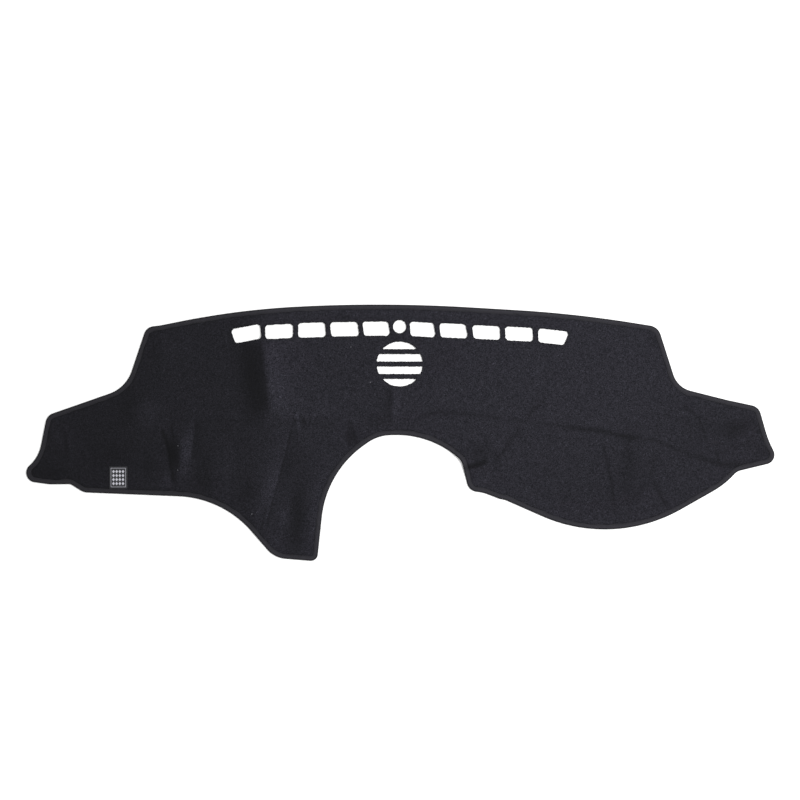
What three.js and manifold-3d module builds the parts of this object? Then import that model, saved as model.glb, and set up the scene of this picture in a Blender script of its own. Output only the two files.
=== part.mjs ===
// Dashboard cover mat, laid out flat as it comes from its packing.
// A single cut of short-pile felt carries a folded binding tape round its whole edge and a small
// woven label in one corner. Air vents, a light sensor and a speaker show through cut openings.
// Millimetres. +X runs to the right and +Y towards the windscreen as the mat is seen from above.
// +Z is up, and the origin is the middle of the mat's ground plan on the surface that it lies on.
import * as THREE from "three";
import { mergeVertices } from "three/addons/utils/BufferGeometryUtils.js";
import Module from "manifold-3d";

// Cloth, tape and label
const felt = { thickness: 3 };
const tape = { thickness: 0.6, width: 9 };
const label = { x: -535.5, width: 34, height: 42, thickness: 0.8, cornerRadius: 1 };
const seat = 0.3; // clearance between pieces that lie against each other

// How far the two tips stand from the middle of the pattern. Each wing's end follows its tip.
const reach = { left: 733.9, right: 718.5 };

// Corners of the cut edge, counter-clockwise from the left tip, each with its fillet radius
const edge = {
  leftNose: { x: -reach.left, y: -88.8, r: 20 },
  underNose: { x: 67.8 - reach.left, y: -98.2, r: 102 },
  stepTop: { x: 107.3 - reach.left, y: -97.7, r: 13 },
  stepFoot: { x: 132.4 - reach.left, y: -113.4, r: 27 },
  leftEdge: { x: -337.2, y: -124.3, r: 195 },
  tongueHeel: { x: -239.2, y: -237.8, r: 52 },
  tongueToe: { x: -158.3, y: -244.4, r: 13 },
  archSide: { x: -140.1, y: -74.5, r: 192 },
  archShoulder: { x: -42.7, y: -5.1, r: 80 },
  archCrown: { x: 57.7, y: -3.1, r: 182 },
  archEnd: { x: 116, y: -53.2, r: 27 },
  archToe: { x: 130, y: -110, r: 21 },
  tapeJointStart: { x: 158.4, y: -114.2, r: 63 },
  tapeJoint: { x: 188.4, y: -125.8, r: 4 },
  tapeJointEnd: { x: 199.6, y: -128, r: 10 },
  belly: { x: 404.9, y: -218.3, r: 295 },
  fender: { x: reach.right - 102.4, y: -98.6, r: 172 },
  wingNotch: { x: reach.right - 79.1, y: -73.4, r: 24 },
  rightNose: { x: reach.right, y: -54.3, r: 18 },
  rightSide: { x: reach.right - 20.3, y: -12.6, r: 186 },
  rightWingTop: { x: reach.right - 37.9, y: 49.2, r: 22 },
  rightWingMiddle: { x: reach.right - 99.1, y: 62.3, r: 297 },
  rightWaist: { x: 526.2, y: 85.9, r: 46 },
  rightShoulder: { x: 489.5, y: 201.1, r: 25 },
  screenRight: { x: 330.1, y: 226.4, r: 2269 },
  screenCrown: { x: -35.6, y: 248, r: 3385 },
  screenLeft: { x: -304, y: 233.5, r: 1736 },
  screenEnd: { x: -456.1, y: 203.8, r: 30 },
  leftShoulder: { x: -482.3, y: 200.6, r: 20 },
  leftWaist: { x: -521, y: 85.3, r: 69 },
  leftWingTop: { x: 62.9 - reach.left, y: 32.9, r: 21 },
  leftSide: { x: 46.5 - reach.left, y: -46.8, r: 77 },
};

// Openings. The demister vents stand in one bowed row, split by the light sensor at the centre line.
const centreLine = -1.4;
const row = { setback: 46, bowRadius: 3400 };
const sensor = { radius: 12.6, rise: 4.3 };
const vent = { cornerRadius: 6.4 };

// The vents of each half, from the middle outwards. The rib lies between a vent and its neighbour
// nearer the middle, and the rise lifts it off the row's line. The vents are cut by hand and slant:
// each side leans to the left by its own angle.
const leftVents = {
  first: { rib: 7.1, width: 49.8, height: 26.9, rise: 0.2, tilt: -0.2, slantLeft: 6.8, slantRight: 8.2 },
  second: { rib: 8.8, width: 53, height: 27.3, rise: -0.2, tilt: 0.9, slantLeft: 5, slantRight: 8.6 },
  third: { rib: 9.5, width: 52, height: 28.1, rise: -0.1, tilt: 1.7, slantLeft: -1.9, slantRight: 3 },
  fourth: { rib: 9.6, width: 52.9, height: 27.1, rise: -0.1, tilt: 2.8, slantLeft: -1.3, slantRight: -4.3 },
  last: { rib: 7.8, width: 53.9, height: 28, rise: -0.5, tilt: 10.6, slantLeft: 8.7, slantRight: -5.5 },
};
const rightVents = {
  first: { rib: 7.1, width: 46.9, height: 27.4, rise: -0.3, tilt: -3.4, slantLeft: 8.3, slantRight: 13.4 },
  second: { rib: 9.8, width: 51.2, height: 27.1, rise: -0.7, tilt: -2.7, slantLeft: 8.9, slantRight: 14.2 },
  third: { rib: 11.3, width: 51.9, height: 26, rise: -0.8, tilt: -3.1, slantLeft: 11.5, slantRight: 5.2 },
  fourth: { rib: 9.8, width: 52.6, height: 26.3, rise: 0.6, tilt: -2.9, slantLeft: 7, slantRight: 4.9 },
  last: { rib: 9.9, width: 54.3, height: 26.7, rise: 1, tilt: -6.2, slantLeft: 7.5, slantRight: -16.1 },
};

// The speaker's grille is a circle stretched a little along the dashboard.
const speaker = { halfWidth: 43.9, halfHeight: 42.6, drop: 66.7, bars: 3, barWidth: 9.2, cornerRadius: 2.5 };

// Low folds left by the packing. Each rises from the flat along a line and dies out over its reach.
const folds = {
  shoulder: { x0: -400, y0: 188, x1: -452, y1: 120, reach: 55, height: 2.4 },
  waist: { x0: -455, y0: 95, x1: -470, y1: 45, reach: 50, height: 2 },
  leftRidge: { x0: -258, y0: 150, x1: -248, y1: 35, reach: 62, height: 3.6 },
  leftPinch: { x0: -400, y0: 15, x1: -405, y1: -80, reach: 48, height: 3.2 },
  wingEnd: { x0: -640, y0: 5, x1: -632, y1: -40, reach: 50, height: 2.6 },
  tongueFold: { x0: -208, y0: 0, x1: -250, y1: -165, reach: 50, height: 2.6 },
  centreFold: { x0: 40, y0: 34, x1: 290, y1: 16, reach: 50, height: 2.6 },
  rightFold: { x0: 290, y0: 16, x1: 450, y1: -4, reach: 50, height: 2.2 },
  archLift: { x0: 118, y0: -50, x1: 172, y1: -44, reach: 42, height: 3.2 },
  bellyWave: { x0: 486, y0: -45, x1: 424, y1: -135, reach: 55, height: 2.6 },
  wingWave: { x0: 560, y0: -36, x1: 636, y1: 4, reach: 52, height: 2.4 },
};

// Fineness of the facets
const flatness = 0.3; // how far a facet may stand off its arc
const weaveStep = 25; // spacing of the grid that the folds are drawn on
const cutMargin = 12; // how far a cutting prism stands past the cloth, above and below
const sharpest = 0.5; // smallest fillet left on a corner
const apart = 0.999; // share of a side that its two fillets may fill together

const wasm = await Module();
wasm.setup();

// A closed three.js geometry as a solid that can be cut and joined.
function solidOf(geometry) {
  geometry.deleteAttribute("normal");
  geometry.deleteAttribute("uv");
  const merged = mergeVertices(geometry);
  return new wasm.Manifold(
    new wasm.Mesh({
      numProp: 3,
      vertProperties: merged.getAttribute("position").array,
      triVerts: Uint32Array.from(merged.getIndex().array),
    }),
  );
}

// The geometry of a finished solid.
function geometryOf(solid) {
  const mesh = solid.getMesh();
  const geometry = new THREE.BufferGeometry();
  geometry.setAttribute("position", new THREE.BufferAttribute(mesh.vertProperties, 3));
  geometry.setIndex(new THREE.BufferAttribute(mesh.triVerts, 1));
  geometry.computeVertexNormals();
  return geometry;
}

// Height of the cloth's underside above the ground: the sum of the folds, zero where it lies flat.
function lift(x, y) {
  let height = 0;
  for (const fold of Object.values(folds)) {
    const start = new THREE.Vector2(fold.x0, fold.y0);
    const run = new THREE.Vector2(fold.x1, fold.y1).sub(start);
    const offset = new THREE.Vector2(x, y).sub(start);
    const along = THREE.MathUtils.clamp(offset.dot(run) / run.lengthSq(), 0, 1);
    const away = offset.addScaledVector(run, -along).length();
    const fade = Math.min(away / fold.reach, 1);
    height += fold.height * 0.5 * (1 + Math.cos(Math.PI * fade));
  }
  return height;
}

// Angle that one facet may span on an arc.
const facetAngle = (radius) => 2 * Math.acos(Math.max(1 - flatness / radius, 0));

// Points of a closed path with its corners rounded. Corners run counter-clockwise, and a positive
// inset moves every side inwards, so round corners keep their centres. A fillet that its sides can't
// hold is made as large as they allow.
function roundedPath(corners, inset = 0) {
  const count = corners.length;
  const sides = corners.map((corner, i) => {
    const next = corners[(i + 1) % count];
    const direction = new THREE.Vector2(next.x - corner.x, next.y - corner.y).normalize();
    const inward = new THREE.Vector2(-direction.y, direction.x);
    return { direction, start: new THREE.Vector2(corner.x, corner.y).addScaledVector(inward, inset) };
  });
  const joints = corners.map((corner, i) => {
    const before = sides[(i + count - 1) % count];
    const after = sides[i];
    const turn = before.direction.cross(after.direction);
    const gap = after.start.clone().sub(before.start);
    const point = before.start
      .clone()
      .addScaledVector(before.direction, gap.cross(after.direction) / turn);
    const radius = Math.max(corner.r - Math.sign(turn) * inset, sharpest);
    const angle = Math.atan2(turn, before.direction.dot(after.direction));
    return { point, before, after, angle, tangent: radius * Math.tan(Math.abs(angle) / 2) };
  });
  const room = joints.map((joint, i) => {
    const next = joints[(i + 1) % count];
    const length = joint.point.distanceTo(next.point);
    return Math.min(1, length / (joint.tangent + next.tangent));
  });
  const points = [];
  joints.forEach((joint, i) => {
    const share = Math.min(room[i], room[(i + count - 1) % count]);
    const tangent = joint.tangent * share * apart;
    const radius = tangent / Math.tan(Math.abs(joint.angle) / 2);
    const { direction } = joint.before;
    const from = joint.point.clone().addScaledVector(direction, -tangent);
    const left = new THREE.Vector2(-direction.y, direction.x);
    const centre = from.clone().addScaledVector(left, Math.sign(joint.angle) * radius);
    const steps = Math.ceil(Math.abs(joint.angle) / facetAngle(radius));
    for (let k = 0; k <= steps; k++) {
      points.push(from.clone().rotateAround(centre, (joint.angle * k) / steps));
    }
  });
  return points;
}

const edgeCorners = Object.values(edge);
const edgePoints = roundedPath(edgeCorners);
const ground = new THREE.Box2().setFromPoints(edgePoints);

// The windscreen edge's highest point, from which the openings are set out.
const crown = edgePoints.reduce((top, point) => (point.y > top.y ? point : top));

// Space between two heights above the cloth's underside, over the whole ground plan. It follows the
// folds, so every layer made from it lies on the one below.
function layer(low, high) {
  const size = ground.getSize(new THREE.Vector2()).addScalar(2 * weaveStep);
  const middle = ground.getCenter(new THREE.Vector2());
  const columns = Math.round(size.x / weaveStep);
  const rows = Math.round(size.y / weaveStep);
  const block = new THREE.BoxGeometry(size.x, size.y, 1, columns, rows, 1);
  block.translate(middle.x, middle.y, 0);
  const position = block.getAttribute("position");
  for (let i = 0; i < position.count; i++) {
    const base = position.getZ(i) > 0 ? high : low;
    position.setZ(i, base + lift(position.getX(i), position.getY(i)));
  }
  return solidOf(block);
}

// Upright prism that stands through the cloth.
function prism(points) {
  const shape = new THREE.Shape(points);
  const depth = felt.thickness + 2 * cutMargin;
  const geometry = new THREE.ExtrudeGeometry(shape, { depth, bevelEnabled: false });
  geometry.translate(0, 0, -cutMargin);
  return solidOf(geometry);
}

// Everything inside the cut edge, moved inwards by an inset.
const within = (inset) => prism(roundedPath(edgeCorners, inset));

// A rectangle with rounded corners, turned about its middle. Its sides may slant about their own
// middles, with the top towards the left.
function roundedBox({ x, y, width, height, cornerRadius, tilt = 0, slantLeft = 0, slantRight = 0 }) {
  const middle = new THREE.Vector2(x, y);
  const half = new THREE.Vector2(width, height).multiplyScalar(0.5);
  const slip = [slantLeft, slantRight].map((slant) => half.y * Math.tan(THREE.MathUtils.degToRad(slant)));
  const corners = [
    new THREE.Vector2(slip[0] - half.x, -half.y),
    new THREE.Vector2(slip[1] + half.x, -half.y),
    new THREE.Vector2(half.x - slip[1], half.y),
    new THREE.Vector2(-half.x - slip[0], half.y),
  ];
  return roundedPath(
    corners.map((corner) => {
      const turned = corner.add(middle).rotateAround(middle, THREE.MathUtils.degToRad(tilt));
      return { x: turned.x, y: turned.y, r: cornerRadius };
    }),
  );
}

// Middle line of the vent row, bowed like the windscreen edge.
const rowHeight = (x) => crown.y - row.setback - (x - crown.x) ** 2 / (2 * row.bowRadius);

// One half of the vent row, from the sensor outwards.
function ventPaths(vents, side) {
  let filled = sensor.radius;
  return Object.values(vents).map((item) => {
    const x = centreLine + side * (filled + item.rib + item.width / 2);
    filled += item.rib + item.width;
    return roundedBox({ ...vent, ...item, x, y: rowHeight(x) + item.rise });
  });
}

// Round hole as a path.
function circlePath(x, y, radius) {
  const facets = Math.ceil((2 * Math.PI) / facetAngle(radius));
  return new THREE.Path().absarc(x, y, radius, 0, 2 * Math.PI).getPoints(facets).slice(0, -1);
}

// The speaker's slots: its round grille with level bars left standing across it.
function speakerPaths() {
  const slots = speaker.bars + 1;
  const slot = (2 * speaker.halfHeight - speaker.bars * speaker.barWidth) / slots;
  const paths = [];
  for (let i = 0; i < slots; i++) {
    const low = -speaker.halfHeight + i * (slot + speaker.barWidth);
    paths.push(slicePath(low, low + slot));
  }
  return paths;
}

// Slice of the speaker's grille between two heights over its middle, with a fillet at each corner.
function slicePath(low, high) {
  const y = rowHeight(centreLine) - speaker.drop;
  const from = Math.asin(Math.max(low / speaker.halfHeight, -1));
  const to = Math.asin(Math.min(high / speaker.halfHeight, 1));
  const facets = Math.ceil((to - from) / facetAngle(speaker.halfWidth));
  const corners = [];
  for (const side of [1, -1]) {
    for (let k = 0; k <= facets; k++) {
      const angle = THREE.MathUtils.lerp(from, to, side > 0 ? k / facets : 1 - k / facets);
      const width = speaker.halfWidth * Math.cos(angle);
      const atPole = width < seat;
      if (atPole && side < 0) continue;
      const r = (k === 0 || k === facets) && !atPole ? speaker.cornerRadius : sharpest;
      corners.push({ x: centreLine + side * width, y: y + speaker.halfHeight * Math.sin(angle), r });
    }
  }
  return roundedPath(corners);
}

const openings = [
  ...ventPaths(leftVents, -1),
  ...ventPaths(rightVents, 1),
  circlePath(centreLine, rowHeight(centreLine) + sensor.rise, sensor.radius),
  ...speakerPaths(),
];

// The felt is full height inside the tape and pressed thin where the tape folds over it.
function feltPanel() {
  const pressed = tape.thickness + seat;
  const full = layer(0, felt.thickness).intersect(within(tape.width + seat));
  const rim = layer(pressed, felt.thickness - pressed).intersect(within(pressed));
  let panel = full.add(rim);
  for (const path of openings) {
    panel = panel.subtract(prism(path));
  }
  return panel;
}

// Tape folded round the edge: a channel that is open towards the felt.
function bindingTape() {
  const outside = layer(0, felt.thickness).intersect(within(0)).subtract(within(tape.width));
  const channel = layer(tape.thickness, felt.thickness - tape.thickness).intersect(within(tape.thickness));
  return outside.subtract(channel);
}

// Height of the tape's inner line on the lower edge, straight below a place.
function tapeLineBelow(x) {
  const line = roundedPath(edgeCorners, tape.width);
  const crossings = line.flatMap((point, i) => {
    const next = line[(i + 1) % line.length];
    const share = (x - point.x) / (next.x - point.x);
    return share >= 0 && share < 1 ? [THREE.MathUtils.lerp(point.y, next.y, share)] : [];
  });
  return Math.min(...crossings);
}

// Label patch on top of the felt, just clear of the tape along the lower edge.
function cornerLabel() {
  const sides = [label.x - label.width / 2, label.x + label.width / 2];
  const foot = Math.max(...sides.map(tapeLineBelow)) + seat;
  const outline = roundedBox({ ...label, y: foot + label.height / 2 });
  const low = felt.thickness + seat;
  return layer(low, low + label.thickness).intersect(prism(outline));
}

// A named piece of the mat in its own finish.
function piece(name, solid, finish) {
  const mesh = new THREE.Mesh(geometryOf(solid), new THREE.MeshStandardMaterial(finish));
  mesh.name = name;
  return mesh;
}

const mat = new THREE.Group();
mat.add(
  piece("mat_panel", feltPanel(), { color: 0x2b2a30, roughness: 0.95, metalness: 0 }),
  piece("edge_binding", bindingTape(), { color: 0x25242a, roughness: 0.8, metalness: 0 }),
  piece("corner_label", cornerLabel(), { color: 0x17171a, roughness: 0.55, metalness: 0 }),
);
const middle = ground.getCenter(new THREE.Vector2());
mat.position.set(-middle.x, -middle.y, 0);

export default mat;
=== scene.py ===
"""Studio scene of a dashboard cover mat that lies flat on a white floor, pile side up.

The mat is one cut of short-pile felt with a woven tape folded round its whole edge, a small woven
label near one end, and openings for ten demister vents, a light sensor and a speaker grille.
Sizes are in millimetres in the mat's own frame, and every mesh is written in metres.
"""

import logging
from dataclasses import dataclass, field
from enum import Enum

import bpy
import numpy as np
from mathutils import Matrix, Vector
from mathutils.geometry import delaunay_2d_cdt


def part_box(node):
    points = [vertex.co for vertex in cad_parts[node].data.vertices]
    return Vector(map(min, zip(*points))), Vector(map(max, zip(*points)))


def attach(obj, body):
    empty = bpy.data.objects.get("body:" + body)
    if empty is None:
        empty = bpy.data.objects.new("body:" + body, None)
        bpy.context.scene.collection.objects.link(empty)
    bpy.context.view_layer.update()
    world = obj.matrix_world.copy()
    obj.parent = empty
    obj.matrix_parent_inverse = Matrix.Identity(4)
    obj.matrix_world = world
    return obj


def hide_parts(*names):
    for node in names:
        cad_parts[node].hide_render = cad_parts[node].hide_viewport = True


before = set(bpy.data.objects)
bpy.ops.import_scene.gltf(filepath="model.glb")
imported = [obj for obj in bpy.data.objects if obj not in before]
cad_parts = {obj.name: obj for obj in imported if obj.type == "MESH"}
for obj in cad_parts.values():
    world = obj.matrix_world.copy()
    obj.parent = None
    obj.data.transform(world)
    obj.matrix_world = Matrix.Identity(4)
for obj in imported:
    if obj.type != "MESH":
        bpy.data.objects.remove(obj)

LOG = logging.getLogger("dashboard_mat")
MM = 0.001
BODY = "root"
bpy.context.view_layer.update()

# Sockets of the colour Mix node, which are found by their place
MIX_FACTOR, MIX_A, MIX_B, MIX_COLOUR = 0, 6, 7, 2

Array = np.ndarray


# Plane geometry


def cross(a: Array, b: Array) -> Array:
    """Cross product of plane vectors held in the last axis."""
    return a[..., 0] * b[..., 1] - a[..., 1] * b[..., 0]


def left_of(direction: Array) -> Array:
    """Each plane vector turned a quarter turn to the left."""
    return np.stack([-direction[..., 1], direction[..., 0]], axis=-1)


def unit(vectors: Array) -> Array:
    """Each vector brought to length 1."""
    return vectors / np.maximum(np.linalg.norm(vectors, axis=-1, keepdims=True), 1e-9)


def heading(loop: Array) -> Array:
    """Unit vector along a closed loop at each of its points, taken from both neighbours."""
    return unit(np.roll(loop, -1, axis=0) - np.roll(loop, 1, axis=0))


@dataclass(frozen=True)
class CutLine:
    """Closed line of straight sides and round corners, counter-clockwise.

    A place on it is a number t. From 2i to 2i + 1 it runs round corner i, and from 2i + 1 to
    2i + 2 along the side that follows. An inset moves every side inwards by that much, and round
    corners keep their centres.
    """

    corners: Array  # one row for each corner: x, y, fillet radius
    sharpest: float = 0.5  # smallest fillet left on a corner
    apart: float = 0.999  # share of a side that its two fillets may fill together

    def joints(self, inset: Array) -> tuple[Array, Array, Array, Array]:
        """Works out the fillet of every corner at every inset.

        Neighbouring sides, moved inwards, meet at a point. The fillet touches each side at
        radius times tan(half the turn) from there, cut down where two fillets would meet.

        Args:
            inset: How far the sides are moved inwards, one value for each line wanted.

        Returns:
            Entry points and centres, both (insets, corners, 2), the turn of each corner in
            radians, and the fillets' radii, (insets, corners).
        """
        xy, fillet = self.corners[:, :2], self.corners[:, 2]
        after = unit(np.roll(xy, -1, axis=0) - xy)
        before = np.roll(after, 1, axis=0)
        start = xy + inset[:, None, None] * left_of(after)
        start_before = np.roll(start, 1, axis=1)
        sine = cross(before, after)
        along = cross(start - start_before, after) / sine
        point = start_before + along[..., None] * before
        turn = np.arctan2(sine, np.sum(before * after, axis=1))
        slope = np.tan(np.abs(turn) / 2)
        radius = np.maximum(fillet - np.sign(turn) * inset[:, None], self.sharpest)
        tangent = radius * slope
        length = np.linalg.norm(np.roll(point, -1, axis=1) - point, axis=-1)
        room = np.minimum(1, length / (tangent + np.roll(tangent, -1, axis=1)))
        tangent *= np.minimum(room, np.roll(room, 1, axis=1)) * self.apart
        radius = tangent / slope
        entry = point - tangent[..., None] * before
        centre = entry + (np.sign(turn) * radius)[..., None] * left_of(before)
        return entry, centre, turn, radius

    def at(self, t: Array, inset: Array) -> Array:
        """Gives the points at places t of the line moved inwards by each inset.

        Args:
            t: Places along the line, (stations,).
            inset: Insets, (lines,).

        Returns:
            Points, (stations, lines, 2).
        """
        entry, centre, turn, _ = self.joints(inset)
        unit = np.floor(t).astype(int)
        share = t - unit
        corner = (unit // 2) % len(turn)
        on_side = unit % 2 == 1
        swing = turn[corner] * np.where(on_side, 1, share)
        arm = entry[:, corner] - centre[:, corner]
        turned = np.cos(swing)[:, None] * arm + np.sin(swing)[:, None] * left_of(arm)
        point = centre[:, corner] + turned
        goal = entry[:, (corner + 1) % len(turn)]
        point = point + (goal - point) * np.where(on_side, share, 0)[:, None]
        return point.transpose(1, 0, 2)

    def stations(self, step: float) -> Array:
        """Gives evenly spaced places along the line, about a step apart.

        Args:
            step: Wanted spacing.

        Returns:
            Places t, (stations,).
        """
        entry, _, turn, radius = self.joints(np.zeros(1))
        arc = radius[0] * np.abs(turn)
        ends = self.at(2.0 * np.arange(len(turn)) + 1, np.zeros(1))[:, 0]
        side = np.linalg.norm(np.roll(entry[0], -1, axis=0) - ends, axis=1)
        reach = np.concatenate([[0], np.cumsum(np.stack([arc, side], axis=1).ravel())])
        count = max(round(reach[-1] / step), 12)
        return np.interp(reach[-1] * np.arange(count) / count, reach, np.arange(len(reach)))

    def points(self, step: float, inset: float = 0.0) -> Array:
        """Points of the line at one inset, about a step apart."""
        return self.at(self.stations(step), np.array([inset]))[:, 0]


def clearance(points: Array, loop: Array, batch: int = 1500) -> Array:
    """Measures how far points lie from a closed loop, positive inside it and negative outside.

    The distance to a side is that to its nearest point, found by clamping the projection. A
    point is inside where a ray to the right crosses an odd number of sides.

    Args:
        points: Points, (n, 2).
        loop: Corners of the loop, (m, 2).
        batch: Points handled at a time, which bounds the memory.

    Returns:
        Signed distances, (n,).
    """
    start, run = loop, np.roll(loop, -1, axis=0) - loop
    length = np.maximum(np.sum(run * run, axis=1), 1e-12)
    signed = []
    for first in range(0, len(points), batch):
        offset = points[first : first + batch, None] - start
        along = np.clip(np.sum(offset * run, axis=-1) / length, 0, 1)
        away = np.linalg.norm(offset - along[..., None] * run, axis=-1).min(axis=1)
        above = offset[..., 1] > 0
        crosses = above != (offset[..., 1] > run[:, 1])
        rise = np.where(run[:, 1] == 0, 1, run[:, 1])
        ahead = offset[..., 0] < run[:, 0] * offset[..., 1] / rise
        inside = np.sum(crosses & ahead, axis=1) % 2 == 1
        signed.append(np.where(inside, away, -away))
    return np.concatenate(signed)


def ripple(x: Array, waves: int, low: int, high: int, seed: int) -> Array:
    """Closed random ripple of about unit height: a sum of sines with whole frequencies.

    Args:
        x: Places round the loop, from 0 to 1.
        waves: How many sines are added.
        low: Lowest frequency, in waves round the loop.
        high: Highest frequency.
        seed: Seed of the frequencies and phases.

    Returns:
        Heights, as many as x.
    """
    random = np.random.default_rng(seed)
    frequency = random.integers(low, high, waves)
    phase = random.uniform(0, 2 * np.pi, waves)
    return np.sin(2 * np.pi * x[..., None] * frequency + phase).sum(axis=-1) / np.sqrt(waves / 2)


# How the cloth lies


@dataclass(frozen=True)
class Fold:
    """Low swell of the cloth: it stands highest on a line and dies out over its reach."""

    x0: float
    y0: float
    x1: float
    y1: float
    reach: float
    height: float


@dataclass(frozen=True)
class Crease:
    """Sharp line that the folded mat took in its packing, with light and shade painted along it and to
    its sides.
    """

    route: tuple[tuple[float, float], ...]
    depth: float = 0.5  # how far the pile is pressed down on the line
    width: float = 3.0
    tone: float = -3.0  # painted lightness on the line, in 8-bit levels: shade below 0, highlight above
    taper: float = 16.0  # length over which it fades out towards each end
    step: float = 0.0  # painted light on its left side and painted shade on its right
    reach: float = 18.0  # how far the step carries

    def sides(self) -> list[tuple[Array, Array, float]]:
        """Start, run and length of each straight part of the route."""
        points = np.array(self.route, float)
        pairs = zip(points[:-1], points[1:])
        return [(start, end - start, np.linalg.norm(end - start)) for start, end in pairs]

    def near(self, xy: Array) -> tuple[Array, Array]:
        """Tells how far points lie beside the crease, and how strong it is there.

        Args:
            xy: Points, (..., 2).

        Returns:
            Distances to the route, negative on its right side, and strengths from 0 at its ends
            to 1, both (...).
        """
        best = np.full(xy.shape[:-1], np.inf)
        signed, place = best.copy(), best.copy()
        passed = 0.0
        for start, run, length in self.sides():
            along = np.clip((xy - start) @ run / length**2, 0, 1)
            away = np.linalg.norm(xy - start - along[..., None] * run, axis=-1)
            closer = away < best
            signed = np.where(closer, np.sign(cross(run, xy - start)) * away, signed)
            place = np.where(closer, passed + along * length, place)
            best = np.minimum(away, best)
            passed += length
        share = np.clip(np.minimum(place, passed - place) / min(self.taper, passed / 2), 0, 1)
        return signed, share * share * (3 - 2 * share)


@dataclass(frozen=True)
class PaintedShadePatch:
    """Soft oval of painted light and shade, where the cloth's slopes and the lean of its pile turn it
    towards the light or away from it.
    """

    x: float
    y: float
    along: float
    across: float
    turn: float  # degrees from +X to the long axis
    tone: float  # painted lightness at its middle, in 8-bit levels: shade below 0, highlight above


@dataclass(frozen=True)
class Lay:
    """Heights of the cloth as it lies on the floor, and the light and shade painted on it."""

    folds: tuple[Fold, ...]
    creases: tuple[Crease, ...]
    patches: tuple[PaintedShadePatch, ...]
    profile: tuple[tuple[float, float], ...]  # x and painted shade from end to end, in levels
    level: float = 43.0  # lightness of the felt at its middle, in 8-bit levels
    darkest: float = 4.0  # level that no shade goes below
    gamma: float = 2.2
    quilt: float = 0.07  # height of the felt's own unevenness

    def lift(self, xy: Array) -> Array:
        """Height of the underside: the folds' sum, each height times (1 + cos(pi s)) / 2.

        Args:
            xy: Points, (..., 2).

        Returns:
            Heights, (...).
        """
        total = np.zeros(xy.shape[:-1])
        for fold in self.folds:
            start = np.array([fold.x0, fold.y0])
            run = np.array([fold.x1, fold.y1]) - start
            along = np.clip((xy - start) @ run / (run @ run), 0, 1)
            away = np.linalg.norm(xy - start - along[..., None] * run, axis=-1)
            fade = np.minimum(away / fold.reach, 1)
            total += fold.height * 0.5 * (1 + np.cos(np.pi * fade))
        return total

    def relief(self, xy: Array) -> Array:
        """Fine height of the pile side: pressed creases, each a Gaussian trough, and quilting.

        Args:
            xy: Points, (..., 2).

        Returns:
            Heights over the fold's own, (...).
        """
        x, y = xy[..., 0], xy[..., 1]
        waves = np.sin(x / 9.1 + 1.7 * np.sin(y / 23)) + np.sin(y / 7.3 + 1.4 * np.sin(x / 31))
        height = self.quilt * 0.5 * waves
        for crease in self.creases:
            away, strength = crease.near(xy)
            height -= crease.depth * strength * np.exp(-((away / crease.width) ** 2))
        return height

    def tone(self, xy: Array) -> Array:
        """Painted light and shade against the middle of the mat, in 8-bit levels.

        It is the profile at x, plus each patch's tone times exp(-q), with q the squared distance
        in the patch's own radii, plus each crease's line and its step to either side.

        Args:
            xy: Points, (..., 2).

        Returns:
            Levels, (...).
        """
        stops = np.array(self.profile)
        total = np.interp(xy[..., 0], stops[:, 0], stops[:, 1])
        for patch in self.patches:
            angle = np.radians(patch.turn)
            axis = np.array([np.cos(angle), np.sin(angle)])
            offset = xy - (patch.x, patch.y)
            q = (offset @ axis / patch.along) ** 2 + (offset @ left_of(axis) / patch.across) ** 2
            total += patch.tone * np.exp(-q)
        for crease in self.creases:
            away, strength = crease.near(xy)
            line = crease.tone * np.exp(-((away / crease.width) ** 2))
            side = crease.step * np.tanh(away / 3) * np.exp(-((away / crease.reach) ** 2))
            total += strength * (line + side)
        return total

    def painted_shading(self, tone: Array) -> Array:
        """Factor on the linear colour that paints light and shade, shifting the felt by so many 8-bit
        levels.
        """
        return (np.maximum(self.level + tone, self.darkest) / self.level) ** self.gamma


FOLDS = (
    Fold(-400, 188, -452, 120, 55, 2.4),
    Fold(-455, 95, -470, 45, 50, 2.0),
    Fold(-258, 150, -248, 35, 62, 3.6),
    Fold(-400, 15, -405, -80, 48, 3.2),
    Fold(-640, 5, -632, -40, 50, 2.6),
    Fold(-208, 0, -250, -165, 50, 2.6),
    Fold(40, 34, 290, 16, 50, 2.6),
    Fold(290, 16, 450, -4, 50, 2.2),
    Fold(118, -50, 172, -44, 42, 3.2),
    Fold(486, -45, 424, -135, 55, 2.6),
    Fold(560, -36, 636, 4, 52, 2.4),
)

# Each crease presses a trough, and paints shade along its line (a highlight where the tone is above 0)
# and light and shade to either side of it
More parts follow.
